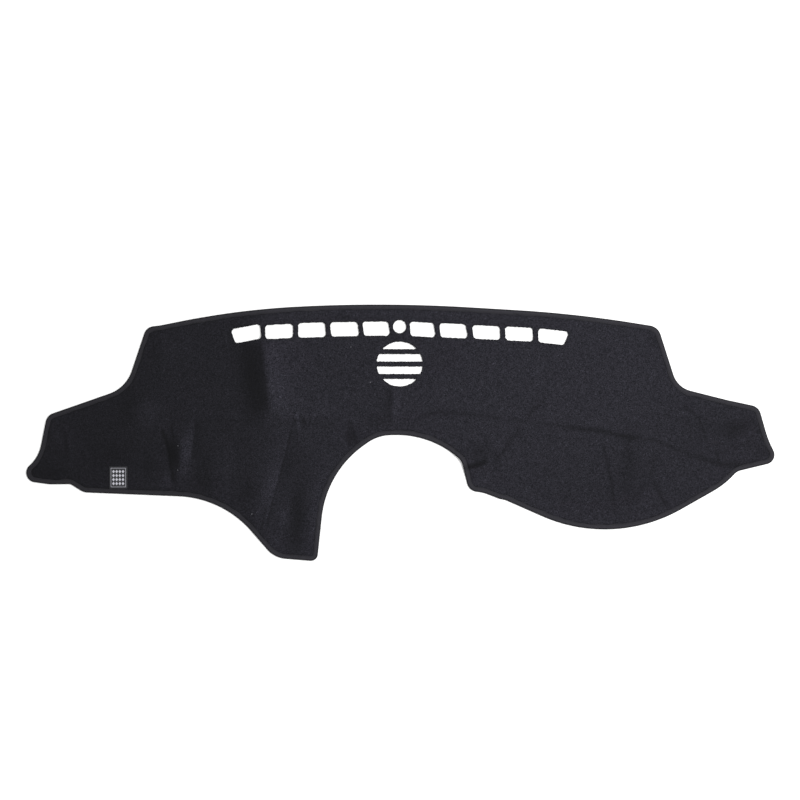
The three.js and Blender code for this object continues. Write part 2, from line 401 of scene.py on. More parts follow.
CREASES = (
    # long crease across the right half: it fades in by the arch, and its painted shade is darkest in
    # two stretches
    Crease(((33, 21), (49, 34), (71, 39), (104, 38), (137, 34), (164, 31),
            (203, 26)), 0.6, 4.2, -6.5, 26),
    Crease(((186, 28), (242, 21), (285, 15), (321, 11)), 0.5, 3.6, -5.0, 24),
    Crease(((290, 15), (318, 11), (355, 6), (385, 3), (410, -4), (440, -10),
            (473, -10)), 0.9, 4.8, -12.0, 40),
    Crease(((452, -9), (482, -15), (512, -27), (542, -39), (569, -48)), 0.5, 4.0, -6.5, 24),
    Crease(((543, -39), (565, -46), (596, -57), (619, -61), (649, -60),
            (678, -56)), 0.7, 4.8, -9.5, 40),
    # slanting crease, a thin double line above the long one and a broad soft one below it
    Crease(((271, 62), (252, 41), (235, 22)), 0.6, 1.9, -11.0, 14),
    Crease(((264, 63), (246, 43), (229, 25)), 0.5, 1.6, -8.0, 14),
    Crease(((235, 23), (220, -1), (203, -25), (186, -46), (170, -71)), 0.5, 4.4, -8.0, 26),
    Crease(((189, -46), (190, -71), (192, -94)), 0.3, 2.8, -6.0, 14),
    # creases that run down to the lower edge
    Crease(((374, 5), (384, -25), (393, -58), (401, -97), (406, -141),
            (407, -168)), 0.6, 3.0, -9.0, 60),
    Crease(((489, -31), (478, -67), (470, -93), (442, -124)), 0.15, 7.0, -5.0, 26),
    Crease(((477, -86), (492, -115), (509, -147)), 0.6, 3.2, -11.0, 16),
    Crease(((326, -86), (315, -120), (303, -153)), 0.4, 2.6, -5.0, 16),
    # right wing and right shoulder
    Crease(((533, 56), (554, 39), (569, 23)), 0.5, 2.8, -7.0, 12),
    Crease(((565, 34), (575, 3), (582, -25)), 0.4, 2.8, -5.5, 16),
    Crease(((595, -29), (601, -42), (606, -59)), 0.5, 2.6, -9.0, 10),
    Crease(((474, 191), (490, 157)), 0.4, 6.0, -6.0, 16),
    # dent by the arch's end, and the puckers at its shoulder and crown
    Crease(((112, -70), (132, -65), (148, -60), (170, -50)), 1.0, 5.0, -20.0, 14),
    Crease(((-98, 28), (-100, 1), (-98, -29)), 0.5, 3.2, -7.0, 12),
    Crease(((-98, 28), (-88, -2), (-77, -27)), 0.5, 3.2, -6.0, 12),
    Crease(((-14, 91), (-15, 62), (-17, 39), (-15, 5)), 0, 3.0, -1.5, 26, 4.5, 15),
    # tongue: a sharp pressed line with a painted bright ridge beside it, and a short second line
    Crease(((-208, 17), (-212, -16), (-219, -46), (-230, -86), (-244, -135),
            (-256, -187)), 0.5, 2.4, -8.0, 24, -3.0, 24),
    Crease(((-211, 17), (-216, -16), (-223, -46), (-234, -86), (-248, -135),
            (-260, -185)), 0, 1.7, 2.5, 24),
    Crease(((-253, -134), (-259, -160), (-266, -189)), 0.5, 2.2, -10.0, 12),
    # pinch beside the left waist, with a ridge that stands sharp on both sides in painted light and
    # shade
    Crease(((-456, 13), (-445, -14), (-438, -42), (-435, -67), (-429, -101)), 1.0, 3.4, -12.0, 18),
    Crease(((-435, 22), (-433, 1), (-430, -18)), 0.6, 2.0, -11.0, 12),
    Crease(((-422, 1), (-418, -25), (-419, -56), (-425, -97)), 0, 3.0, 0.0, 22, 7.0, 15),
    Crease(((-389, 28), (-390, 1), (-393, -27), (-397, -59)), 0.5, 2.2, -5.0, 18, -6.0, 13),
    # edge of the left ridge, with painted shade on one side and painted light on the other
    Crease(((-262, 180), (-258, 138), (-253, 91), (-247, 34)), 0, 6.0, 0.0, 20, 8.0, 34),
    # fold line from the left waist to the arch, broken into short teeth of painted shade and painted
    # highlight
    Crease(((-255, 27), (-219, 23), (-191, 26), (-153, 30), (-96, 30)), 0.4, 3.0, -1.5, 40, 3.5, 24),
    Crease(((-447, 30), (-381, 22), (-305, 24), (-248, 26)), 0.4, 3.2, -3.0, 40, 0.6),
    Crease(((-236, 43), (-232, 26), (-229, 9)), 0.4, 2.2, -7.0, 10),
    Crease(((-198, 39), (-193, 22), (-188, 5)), 0.6, 2.4, 5.0, 8),
    Crease(((-206, 34), (-202, 24), (-198, 13)), 0.4, 2.4, -9.0, 6),
    Crease(((-188, 36), (-183, 22), (-178, 9)), 0.5, 3.2, -9.0, 8),
    Crease(((-196, 24), (-189, -2)), 0, 2.6, 6.0, 8),
    Crease(((-160, 39), (-171, 18)), 0, 2.0, 6.0, 8),
    # faint line across the left wing
    Crease(((-647, 22), (-636, -2), (-630, -27), (-628, -61)), 0.3, 2.6, -3.0, 20, 4.0, 15),
)

# Painted light and shade: ovals where the slopes of the cloth and the lean of its pile turn it towards
# the light or away from it
PATCHES = (
    # left shoulder and waist
    PaintedShadePatch(-438, 157, 25, 11, 100, 3.0),
    PaintedShadePatch(-405, 170, 23, 11, 100, 2.0),
    PaintedShadePatch(-466, 153, 38, 11, 95, -4.0),
    PaintedShadePatch(-479, 41, 23, 21, 90, 7.5),
    PaintedShadePatch(-517, 47, 42, 23, 60, -5.0),
    # left wing
    PaintedShadePatch(-542, -42, 46, 34, 0, -4.0),
    PaintedShadePatch(-669, -75, 38, 13, -5, -5.5),
    PaintedShadePatch(-650, -2, 28, 11, 108, 6.5),
    PaintedShadePatch(-628, 34, 13, 8, 20, 3.0),
    PaintedShadePatch(-474, -65, 19, 13, 100, -5.0),
    # pinch and what lies right of it
    PaintedShadePatch(-431, -39, 23, 9, 100, -14.0),
    PaintedShadePatch(-443, -88, 19, 10, 75, 8.0),
    PaintedShadePatch(-405, -31, 46, 11, 86, 9.0),
    PaintedShadePatch(-375, -71, 44, 15, 82, -5.5),
    PaintedShadePatch(-367, -97, 17, 11, 0, -3.0),
    PaintedShadePatch(-331, -75, 48, 14, 88, 4.5),
    PaintedShadePatch(-289, -113, 25, 15, 60, -4.5),
    # ridge: painted very dark on its left slope, which turns from the light, and painted light on its
    # top
    PaintedShadePatch(-280, 108, 72, 25, 100, -11.0),
    PaintedShadePatch(-274, 47, 25, 21, 60, -3.5),
    PaintedShadePatch(-223, 112, 80, 34, 92, 2.0),
    # tongue
    PaintedShadePatch(-210, -33, 72, 42, 0, -3.0),
    PaintedShadePatch(-198, -128, 87, 38, 88, -5.0),
    PaintedShadePatch(-246, -101, 51, 15, 77, 5.5),
    PaintedShadePatch(-214, -67, 19, 10, 77, -4.0),
    PaintedShadePatch(-219, -153, 27, 10, 80, 5.0),
    PaintedShadePatch(-196, -173, 68, 16, 86, -10.0),
    PaintedShadePatch(-162, -151, 68, 13, 83, 4.5),
    # beside the arch
    PaintedShadePatch(-90, -10, 17, 8, 95, -10.0),
    PaintedShadePatch(-44, 22, 21, 13, 20, -5.0),
    PaintedShadePatch(-22, 62, 23, 8, 92, -4.5),
    PaintedShadePatch(-6, 53, 38, 7, 88, 3.5),
    PaintedShadePatch(151, -35, 25, 15, 0, -8.0),
    # between the openings
    PaintedShadePatch(-13, 182, 8, 8, 0, -5.0),
    PaintedShadePatch(-1, 229, 218, 10, 0, 2.5),
    PaintedShadePatch(-153, 134, 6, 6, 0, -4.0),
    PaintedShadePatch(-105, 218, 13, 6, 0, -4.0),
    # right half
    PaintedShadePatch(433, -67, 65, 17, 88, -6.0),
    PaintedShadePatch(379, -122, 171, 46, -5, -2.5),
    PaintedShadePatch(395, -67, 190, 57, -3, -2.2),
    PaintedShadePatch(579, 5, 114, 49, 0, -2.5),
    PaintedShadePatch(638, 9, 27, 14, 14, -9.0),
    PaintedShadePatch(687, -33, 23, 15, 60, -3.0),
    PaintedShadePatch(159, -90, 23, 10, 10, 3.0),
    PaintedShadePatch(269, 56, 8, 6, 0, -5.0),
)

# Painted shade from end to end of the mat, darkest at the left end, which lies farthest from the light
PROFILE = (
    (-740, -16.5), (-560, -14.5), (-460, -11.5), (-330, -10.6), (-290, -9.5), (-235, -2), (-190, -2),
    (-60, -2.7), (60, -1.2), (200, -0.3), (450, -0.8), (560, -2.6), (740, -4.6),
)


# The cut pattern


@dataclass(frozen=True)
class Vent:
    """One demister opening in its row, cut by hand, so that its sides slant a little."""

    rib: float  # felt left between it and its neighbour nearer the middle
    width: float
    height: float
    rise: float  # how far it stands above the row's middle line
    tilt: float
    slant_left: float  # degrees that the side leans to the left
    slant_right: float


@dataclass
class MatPattern:
    """Cut lines of the mat: its edge and its openings."""

    edge_corners: dict[str, tuple[float, float, float]] = field(default_factory=lambda: {
        "left_nose": (-733.9, -88.8, 20),
        "under_nose": (-666.1, -98.2, 102),
        "step_top": (-626.6, -97.7, 13),
        "step_foot": (-601.5, -113.4, 27),
        "left_edge": (-337.2, -124.3, 195),
        "tongue_heel": (-239.2, -237.8, 52),
        "tongue_toe": (-158.3, -244.4, 13),
        "arch_side": (-140.1, -74.5, 192),
        "arch_shoulder": (-42.7, -5.1, 80),
        "arch_crown": (57.7, -3.1, 182),
        "arch_end": (116, -53.2, 27),
        "arch_toe": (130, -110, 21),
        "tape_joint_start": (158.4, -114.2, 63),
        "tape_joint": (188.4, -125.8, 4),
        "tape_joint_end": (199.6, -128, 10),
        "belly": (404.9, -218.3, 295),
        "fender": (616.1, -98.6, 172),
        "wing_notch": (639.4, -73.4, 24),
        "right_nose": (718.5, -54.3, 18),
        "right_side": (698.2, -12.6, 186),
        "right_wing_top": (680.6, 49.2, 22),
        "right_wing_middle": (619.4, 62.3, 297),
        "right_waist": (526.2, 85.9, 46),
        "right_shoulder": (489.5, 201.1, 25),
        "screen_right": (330.1, 226.4, 2269),
        "screen_crown": (-35.6, 248, 3385),
        "screen_left": (-304, 233.5, 1736),
        "screen_end": (-456.1, 203.8, 30),
        "left_shoulder": (-482.3, 200.6, 20),
        "left_waist": (-521, 85.3, 69),
        "left_wing_top": (-671, 32.9, 21),
        "left_side": (-687.4, -46.8, 77),
    })
    centre_line: float = -1.4
    row_setback: float = 46.0
    row_bow_radius: float = 3400.0
    sensor_radius: float = 12.6
    sensor_rise: float = 4.3
    vent_corner: float = 6.4
    left_vents: tuple[Vent, ...] = (
        Vent(7.1, 49.8, 26.9, 0.2, -0.2, 6.8, 8.2),
        Vent(8.8, 53.0, 27.3, -0.2, 0.9, 5.0, 8.6),
        Vent(9.5, 52.0, 28.1, -0.1, 1.7, -1.9, 3.0),
        Vent(9.6, 52.9, 27.1, -0.1, 2.8, -1.3, -4.3),
        Vent(7.8, 53.9, 28.0, -0.5, 10.6, 8.7, -5.5),
    )
    right_vents: tuple[Vent, ...] = (
        Vent(7.1, 46.9, 27.4, -0.3, -3.4, 8.3, 13.4),
        Vent(9.8, 51.2, 27.1, -0.7, -2.7, 8.9, 14.2),
        Vent(11.3, 51.9, 26.0, -0.8, -3.1, 11.5, 5.2),
        Vent(9.8, 52.6, 26.3, 0.6, -2.9, 7.0, 4.9),
        Vent(9.9, 54.3, 26.7, 1.0, -6.2, 7.5, -16.1),
    )
    speaker_half_width: float = 43.9
    speaker_half_height: float = 42.6
    speaker_drop: float = 66.7
    speaker_bars: int = 3
    speaker_bar: float = 9.2
    speaker_corner: float = 2.5
    slot_facets: int = 14

    def __post_init__(self) -> None:
        """Works out every cut line, with the origin moved to the middle of the ground plan."""
        drawn = CutLine(np.array(list(self.edge_corners.values()), float))
        outline = drawn.points(1.0)
        self.middle = (outline.min(axis=0) + outline.max(axis=0)) / 2
        self.crown = outline[outline[:, 1].argmax()]
        self.edge = self.centred(drawn.corners)
        self.openings = [
            *self.vent_row(self.left_vents, -1),
            *self.vent_row(self.right_vents, 1),
            self.sensor_hole(),
            *self.speaker_slots(),
        ]

    def centred(self, corners: Array) -> CutLine:
        """A cut line drawn in the pattern's frame, moved to the mat's origin."""
        return CutLine(corners - np.append(self.middle, 0))

    def row_height(self, x: float) -> float:
        """Height of the vent row's middle line, bowed like the windscreen edge."""
        bow = (x - self.crown[0]) ** 2 / (2 * self.row_bow_radius)
        return self.crown[1] - self.row_setback - bow

    def vent_row(self, vents: tuple[Vent, ...], side: int) -> list[CutLine]:
        """Sets out one half of the vent row from the sensor outwards.

        Args:
            vents: The vents in order from the middle.
            side: 1 for the right half, -1 for the left.

        Returns:
            One cut line for each vent: a box turned by its tilt, with its sides slanted about
            their own middles.
        """
        filled = self.sensor_radius
        lines = []
        for vent in vents:
            x = self.centre_line + side * (filled + vent.rib + vent.width / 2)
            filled += vent.rib + vent.width
            half, tall = vent.width / 2, vent.height / 2
            left, right = tall * np.tan(np.radians([vent.slant_left, vent.slant_right]))
            box = np.array([
                (left - half, -tall), (half + right, -tall),
                (half - right, tall), (-half - left, tall)])
            angle = np.radians(vent.tilt)
            turned = np.cos(angle) * box + np.sin(angle) * left_of(box)
            turned += (x, self.row_height(x) + vent.rise)
            lines.append(self.centred(np.column_stack([turned, np.full(4, self.vent_corner)])))
        return lines

    def sensor_hole(self) -> CutLine:
        """Round hole of the light sensor: eight corners, each with the circle's own radius."""
        angle = np.radians(np.arange(8) * 45 + 22.5)
        reach = self.sensor_radius / np.cos(np.radians(22.5))
        x = self.centre_line + reach * np.cos(angle)
        y = self.row_height(self.centre_line) + self.sensor_rise + reach * np.sin(angle)
        return self.centred(np.column_stack([x, y, np.full(8, self.sensor_radius)]))

    def speaker_slots(self) -> list[CutLine]:
        """The speaker's round grille, cut into slots by the level bars left across it."""
        low = -self.speaker_half_height
        slot = (-2 * low - self.speaker_bars * self.speaker_bar) / (self.speaker_bars + 1)
        lows = low + np.arange(self.speaker_bars + 1) * (slot + self.speaker_bar)
        return [self.speaker_slice(low, low + slot) for low in lows]

    def speaker_slice(self, low: float, high: float) -> CutLine:
        """Slice of the speaker's oval between two heights over its middle.

        Args:
            low: Lower height.
            high: Upper height.

        Returns:
            Cut line: up the right arc and down the left one, filleted where they end.
        """
        start, end = np.arcsin(np.clip(np.array([low, high]) / self.speaker_half_height, -1, 1))
        angle = np.linspace(start, end, self.slot_facets + 1)
        at_pole = np.cos(angle) < 0.01
        fillet = np.full(len(angle), self.speaker_corner / 2)
        fillet[[0, -1]] = np.where(at_pole[[0, -1]], 1.0, self.speaker_corner)
        x = self.speaker_half_width * np.cos(angle)
        y = self.speaker_half_height * np.sin(angle)
        right = np.column_stack([x, y, fillet])
        left = np.column_stack([-x, y, fillet])[::-1]
        left = left[~at_pole[::-1]]
        place = (self.centre_line, self.row_height(self.centre_line) - self.speaker_drop, 0)
        return self.centred(np.concatenate([right, left]) + place)


# Meshes


def grid_faces(rows: int, columns: int, close_rows: bool, close_columns: bool) -> Array:
    """Quads of a grid of points numbered row by row, closed on itself where asked.

    Args:
        rows: Number of rows of points.
        columns: Points in each row.
        close_rows: Whether the last row joins the first.
        close_columns: Whether the last column joins the first.

    Returns:
        Corner numbers, (quads, 4).
    """
    row = np.arange(rows if close_rows else rows - 1)[:, None]
    column = np.arange(columns if close_columns else columns - 1)[None]
    after, beside = (row + 1) % rows, (column + 1) % columns
    corners = [row * columns + column, after * columns + column]
    corners += [after * columns + beside, row * columns + beside]
    return np.stack(np.broadcast_arrays(*corners), axis=-1).reshape(-1, 4)


def add_piece(name: str, points: Array, faces: list) -> bpy.types.Object:
    """Makes an object of the mat from points in millimetres, smooth-shaded and riding the body.

    Args:
        name: Name of the piece.
        points: Corner points, (n, 3), in millimetres.
        faces: Arrays of corner numbers, each with its own number of corners a face.

    Returns:
        The object, at the origin.
    """
    mesh = bpy.data.meshes.new(name)
    mesh.from_pydata(points * MM, [], [face for group in faces for face in group.tolist()])
    mesh.polygons.foreach_set("use_smooth", np.ones(len(mesh.polygons), bool))
    mesh.update()
    piece = bpy.data.objects.new(name, mesh)
    bpy.context.scene.collection.objects.link(piece)
    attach(piece, BODY)
    return piece


def write_attribute(piece: bpy.types.Object, name: str, values: Array) -> None:
    """Stores one number for each point of a piece under a name that its material reads."""
    layer = piece.data.attributes.new(name, "FLOAT", "POINT")
    layer.data.foreach_set("value", values.astype(np.float32))


def write_uv(piece: bpy.types.Object, uv: Array) -> None:
    """Stores a UV map given for each point of a piece.

    Args:
        piece: The piece.
        uv: Coordinates of each point, (n, 2).
    """
    corners = np.empty(len(piece.data.loops), np.int32)
    piece.data.loops.foreach_get("vertex_index", corners)
    layer = piece.data.uv_layers.new(name="cloth")
    layer.data.foreach_set("uv", uv[corners].astype(np.float32).ravel())


def threads(path: Array, radius: Array, sides: int) -> tuple[Array, list]:
    """Many short threads with pointed ends, each a circle carried along its own path.

    A ring stands square to the path on two axes: across, which is level, and over, which is
    square to both. The first and last points of a path are the tips.

    Args:
        path: Points of every thread, (threads, points, 3).
        radius: Radius at each inner point of a path, (points - 2,).
        sides: Corners of a ring.

    Returns:
        Points, (n, 3), and face arrays.
    """
    count, length = path.shape[:2]
    run = unit(path[:, 2:] - path[:, :-2])
    across = unit(np.stack([-run[..., 1], run[..., 0], np.zeros(run.shape[:-1])], axis=-1))
    over = np.cross(run, across)
    angle = 2 * np.pi * np.arange(sides) / sides
    ring = np.cos(angle)[:, None] * across[..., None, :] + np.sin(angle)[:, None] * over[..., None, :]
    ring = path[:, 1:-1, None] + radius[:, None, None] * ring
    each = (length - 2) * sides
    body = ring.reshape(count, each, 3)
    points = np.concatenate([body, path[:, :1], path[:, -1:]], axis=1)
    quads = grid_faces(length - 2, sides, False, True)[:, ::-1]
    turn = np.arange(sides)
    near = np.stack([np.full(sides, each), (turn + 1) % sides, turn], axis=1)[:, ::-1]
    last = each - sides
    far = np.stack([np.full(sides, each + 1), last + turn, last + (turn + 1) % sides], axis=1)[:, ::-1]
    start = (each + 2) * np.arange(count)[:, None, None]
    faces = [(start + part).reshape(-1, part.shape[1]) for part in (quads, near, far)]
    return points.reshape(-1, 3), faces


# Finishes


def linear(colour: str) -> tuple[float, float, float, float]:
    """Linear colour of an sRGB hex value, by the sRGB curve."""
    value = np.array([int(colour[i : i + 2], 16) for i in (1, 3, 5)]) / 255
    value = np.where(value <= 0.04045, value / 12.92, ((value + 0.055) / 1.055) ** 2.4)
    return (*value.tolist(), 1.0)


def add_node(
    tree: bpy.types.NodeTree, kind: str, inputs: dict | None = None, **settings
) -> bpy.types.Node:
    """Adds a shader node with its settings, and sets or links its inputs.

    Args:
        tree: Node tree of the material.
        kind: Type of the node.
        inputs: Value of each input by name or place. An output socket is linked to it.
        **settings: Properties of the node.

    Returns:
        The node.
    """
    node = tree.nodes.new(kind)
    for name, value in settings.items():
        setattr(node, name, value)
    for key, value in (inputs or {}).items():
        if isinstance(value, bpy.types.NodeSocket):
            tree.links.new(value, node.inputs[key])
        else:
            node.inputs[key].default_value = value
    return node


def per_metre(size_mm: float) -> float:
    """How often a pattern of this size repeats in a metre, which is the scale of a noise."""
    return 1 / (size_mm * MM)


def wave_scale(period_mm: float) -> float:
    """Scale of a wave pattern whose bands repeat after this length: it runs through 20 radians."""
    return per_metre(period_mm) / 20 * 2 * np.pi


class Finish:
    """What every finish shares: a material with one shader, fed by what the finish wires up."""

    name: str

    def build(self) -> bpy.types.Material:
        """Makes the material."""
        material = bpy.data.materials.new(self.name)
        material.use_nodes = True
        tree = material.node_tree
        tree.nodes.clear()
        shader = add_node(tree, "ShaderNodeBsdfPrincipled", self.surface(tree))
        add_node(tree, "ShaderNodeOutputMaterial", {"Surface": shader.outputs["BSDF"]})
        return material

    def surface(self, tree: bpy.types.NodeTree) -> dict:
        """Adds the finish's own nodes, and gives the value or socket of each shader input."""
        raise NotImplementedError


@dataclass(frozen=True)
class NeedledFelt(Finish):
    """Needled polyester felt with a brushed short pile: matt, mottled and faintly cool.

    Clumps of fibre catch the light in spots of a few millimetres and single fibres show as a finer
    grain. Painted light and shade of the folds, creases and lean of the pile makes whole areas lighter
    or darker.
    """

    name: str = "needled_polyester_felt"
    shadow: str = "#0a0a0f"
    body: str = "#222127"
    fibre: str = "#403f49"
    clump_mm: float = 4.6
    grain_mm: float = 2.4
    strand_mm: float = 3.0
    grain_share: float = 0.8  # of the fine grain, against the clumps
    body_range: tuple[float, float] = (0.41, 0.59)  # noise from shadow to body
    fibre_range: tuple[float, float] = (0.56, 0.74)  # noise from no strand to a full one
    fibre_cover: float = 0.9
    pile_mm: float = 0.9
    sheen: str = "#b9bac6"
    roughness: float = 0.95

    def surface(self, tree: bpy.types.NodeTree) -> dict:
        """Two grains mixed from shadow to body, with strands over them."""
        place = add_node(tree, "ShaderNodeTexCoord").outputs["Object"]
        clump = add_node(tree, "ShaderNodeTexNoise", {
            "Vector": place, "Scale": per_metre(self.clump_mm), "Detail": 2.0, "Roughness": 0.6})
        grain = add_node(tree, "ShaderNodeTexNoise", {
            "Vector": place, "Scale": per_metre(self.grain_mm), "Detail": 3.0, "Roughness": 0.7})
        strand = add_node(tree, "ShaderNodeTexNoise", {
            "Vector": place, "Scale": per_metre(self.strand_mm), "Detail": 4.0, "Distortion": 2.5})
        pile = add_node(tree, "ShaderNodeMix", {
            0: self.grain_share, 2: clump.outputs[0], 3: grain.outputs[0]}, data_type="FLOAT")
        depth = add_node(tree, "ShaderNodeMapRange", {
            "Value": pile.outputs[0], "From Min": self.body_range[0], "From Max": self.body_range[1]})
        ground = add_node(tree, "ShaderNodeMix", {
            MIX_FACTOR: depth.outputs["Result"], MIX_A: linear(self.shadow), MIX_B: linear(self.body)},
            data_type="RGBA")
        raised = add_node(tree, "ShaderNodeMapRange", {
            "Value": strand.outputs[0], "From Min": self.fibre_range[0],
            "From Max": self.fibre_range[1], "To Max": self.fibre_cover})
        colour = add_node(tree, "ShaderNodeMix", {
            MIX_FACTOR: raised.outputs["Result"], MIX_A: ground.outputs[MIX_COLOUR],
            MIX_B: linear(self.fibre)}, data_type="RGBA")
        # painted light and shade of the folds, creases, rims and cuts, read for each point
        painted_shading = add_node(tree, "ShaderNodeAttribute", attribute_name="painted_shading")
        shaded = add_node(tree, "ShaderNodeVectorMath", {
            0: colour.outputs[MIX_COLOUR], "Scale": painted_shading.outputs["Fac"]}, operation="SCALE")
        relief = add_node(tree, "ShaderNodeBump", {
            "Height": pile.outputs[0], "Strength": 0.5, "Distance": self.pile_mm * MM})
        return {
            "Base Color": shaded.outputs["Vector"], "Roughness": self.roughness,
            "Specular IOR Level": 0.12, "Sheen Weight": 0.06, "Sheen Roughness": 0.7,
            "Sheen Tint": linear(self.sheen), "Normal": relief.outputs["Normal"]}


@dataclass(frozen=True)
class DottedBacking(Finish):
    """Underside of the felt with small rubber dots that keep it from sliding.

    The felt is flatter and duller there than the brushed side, and the dots are a shade darker
    with a soft gloss.
    """

    name: str = "non_slip_dotted_backing"
    shadow: str = "#1f1f23"
    felt: str = "#2b2a2f"
    dot: str = "#141416"
    pitch_mm: float = 9.0
    dot_mm: float = 3.2
    dot_blur: float = 0.15  # share of a dot's radius over which its rim fades
    dot_height_mm: float = 0.5
    grain_mm: float = 1.8

    def surface(self, tree: bpy.types.NodeTree) -> dict:
        """A dot where the place in its square cell is near the middle."""
        place = add_node(tree, "ShaderNodeTexCoord").outputs["Object"]
        grain = add_node(tree, "ShaderNodeTexNoise", {
            "Vector": place, "Scale": per_metre(self.grain_mm), "Detail": 3.0})
        each = per_metre(self.pitch_mm)
        cells = add_node(tree, "ShaderNodeVectorMath", {
            0: place, 1: (each, each, 0)}, operation="MULTIPLY")
        inside = add_node(tree, "ShaderNodeVectorMath", {0: cells.outputs[0]}, operation="FRACTION")
        offset = add_node(tree, "ShaderNodeVectorMath", {
            0: inside.outputs[0], 1: (0.5, 0.5, 0)}, operation="SUBTRACT")
        away = add_node(tree, "ShaderNodeVectorMath", {0: offset.outputs[0]}, operation="LENGTH")
        radius = self.dot_mm / 2 / self.pitch_mm
        dot = add_node(tree, "ShaderNodeMapRange", {
            "Value": away.outputs["Value"], "From Min": radius * (1 + self.dot_blur),
            "From Max": radius * (1 - self.dot_blur)})
        dull = add_node(tree, "ShaderNodeMix", {
            MIX_FACTOR: grain.outputs[0], MIX_A: linear(self.shadow), MIX_B: linear(self.felt)},
            data_type="RGBA")
        colour = add_node(tree, "ShaderNodeMix", {
            MIX_FACTOR: dot.outputs["Result"], MIX_A: dull.outputs[MIX_COLOUR],
            MIX_B: linear(self.dot)}, data_type="RGBA")
        gloss = add_node(tree, "ShaderNodeMapRange", {
            "Value": dot.outputs["Result"], "To Min": 0.95, "To Max": 0.45})
        fuzz = add_node(tree, "ShaderNodeBump", {
            "Height": grain.outputs[0], "Strength": 0.35, "Distance": 0.4 * MM})
        relief = add_node(tree, "ShaderNodeBump", {
            "Height": dot.outputs["Result"], "Strength": 0.9, "Distance": self.dot_height_mm * MM,
            "Normal": fuzz.outputs["Normal"]})
        return {
            "Base Color": colour.outputs[MIX_COLOUR], "Roughness": gloss.outputs["Result"],
            "Specular IOR Level": 0.25, "Normal": relief.outputs["Normal"]}


@dataclass(frozen=True)
class TwillTape(Finish):
    """Woven polyester tape: a fine slanting rib, tighter and a little smoother than the felt."""

    name: str = "woven_polyester_tape"
    valley: str = "#131217"
    yarn: str = "#26252a"
    rib_mm: float = 1.5  # real ribs are about 0.7 mm, too fine to show
    slub_mm: float = 3.0
    slub_share: float = 0.6  # of the uneven yarn, against the ribs
    yarn_range: tuple[float, float] = (0.25, 0.75)  # pattern from valley to yarn
    roughness: float = 0.8

    def surface(self, tree: bpy.types.NodeTree) -> dict:
        """Bands slanting across the cloth map, broken up by uneven yarn."""
        cloth = add_node(tree, "ShaderNodeUVMap", uv_map="cloth").outputs["UV"]
        place = add_node(tree, "ShaderNodeTexCoord").outputs["Object"]
        rib = add_node(tree, "ShaderNodeTexWave", {
            "Vector": cloth, "Scale": wave_scale(self.rib_mm), "Distortion": 0.6, "Detail": 1.0,
            "Detail Scale": 1.5}, wave_type="BANDS", bands_direction="DIAGONAL")
        slub = add_node(tree, "ShaderNodeTexNoise", {
            "Vector": place, "Scale": per_metre(self.slub_mm), "Detail": 3.0, "Roughness": 0.65})
        yarn = add_node(tree, "ShaderNodeMix", {
            0: self.slub_share, 2: rib.outputs["Fac"], 3: slub.outputs[0]}, data_type="FLOAT")
        depth = add_node(tree, "ShaderNodeMapRange", {
            "Value": yarn.outputs[0], "From Min": self.yarn_range[0], "From Max": self.yarn_range[1]})
        colour = add_node(tree, "ShaderNodeMix", {
            MIX_FACTOR: depth.outputs["Result"], MIX_A: linear(self.valley), MIX_B: linear(self.yarn)},
            data_type="RGBA")
        # painted light and shade: part of the felt's, with the tape's own dark nose, sheen band and
        # seam
        painted_shading = add_node(tree, "ShaderNodeAttribute", attribute_name="painted_shading")
        shaded = add_node(tree, "ShaderNodeVectorMath", {
            0: colour.outputs[MIX_COLOUR], "Scale": painted_shading.outputs["Fac"]}, operation="SCALE")
        relief = add_node(tree, "ShaderNodeBump", {
            "Height": yarn.outputs[0], "Strength": 0.5, "Distance": 0.35 * MM})
        return {
            "Base Color": shaded.outputs["Vector"], "Roughness": self.roughness,
            "Specular IOR Level": 0.2, "Sheen Weight": 0.05, "Sheen Roughness": 0.5,
            "Normal": relief.outputs["Normal"]}


@dataclass(frozen=True)
class SpunThread(Finish):
    """Spun polyester sewing thread or loose fibre: dull, with a faint twist."""

    name: str = "spun_polyester_thread"
    dark: str = "#16161a"
    light: str = "#2a2930"
    twist_mm: float = 0.8
    roughness: float = 0.7

    def surface(self, tree: bpy.types.NodeTree) -> dict:
        """Fine noise between two shades, raised as the plies are."""
        place = add_node(tree, "ShaderNodeTexCoord").outputs["Object"]
        ply = add_node(tree, "ShaderNodeTexNoise", {
            "Vector": place, "Scale": per_metre(self.twist_mm), "Detail": 2.0})
        colour = add_node(tree, "ShaderNodeMix", {
            MIX_FACTOR: ply.outputs[0], MIX_A: linear(self.dark), MIX_B: linear(self.light)},
            data_type="RGBA")
        relief = add_node(tree, "ShaderNodeBump", {
            "Height": ply.outputs[0], "Strength": 0.5, "Distance": 0.1 * MM})
        return {
            "Base Color": colour.outputs[MIX_COLOUR], "Roughness": self.roughness,
            "Specular IOR Level": 0.3, "Normal": relief.outputs["Normal"]}


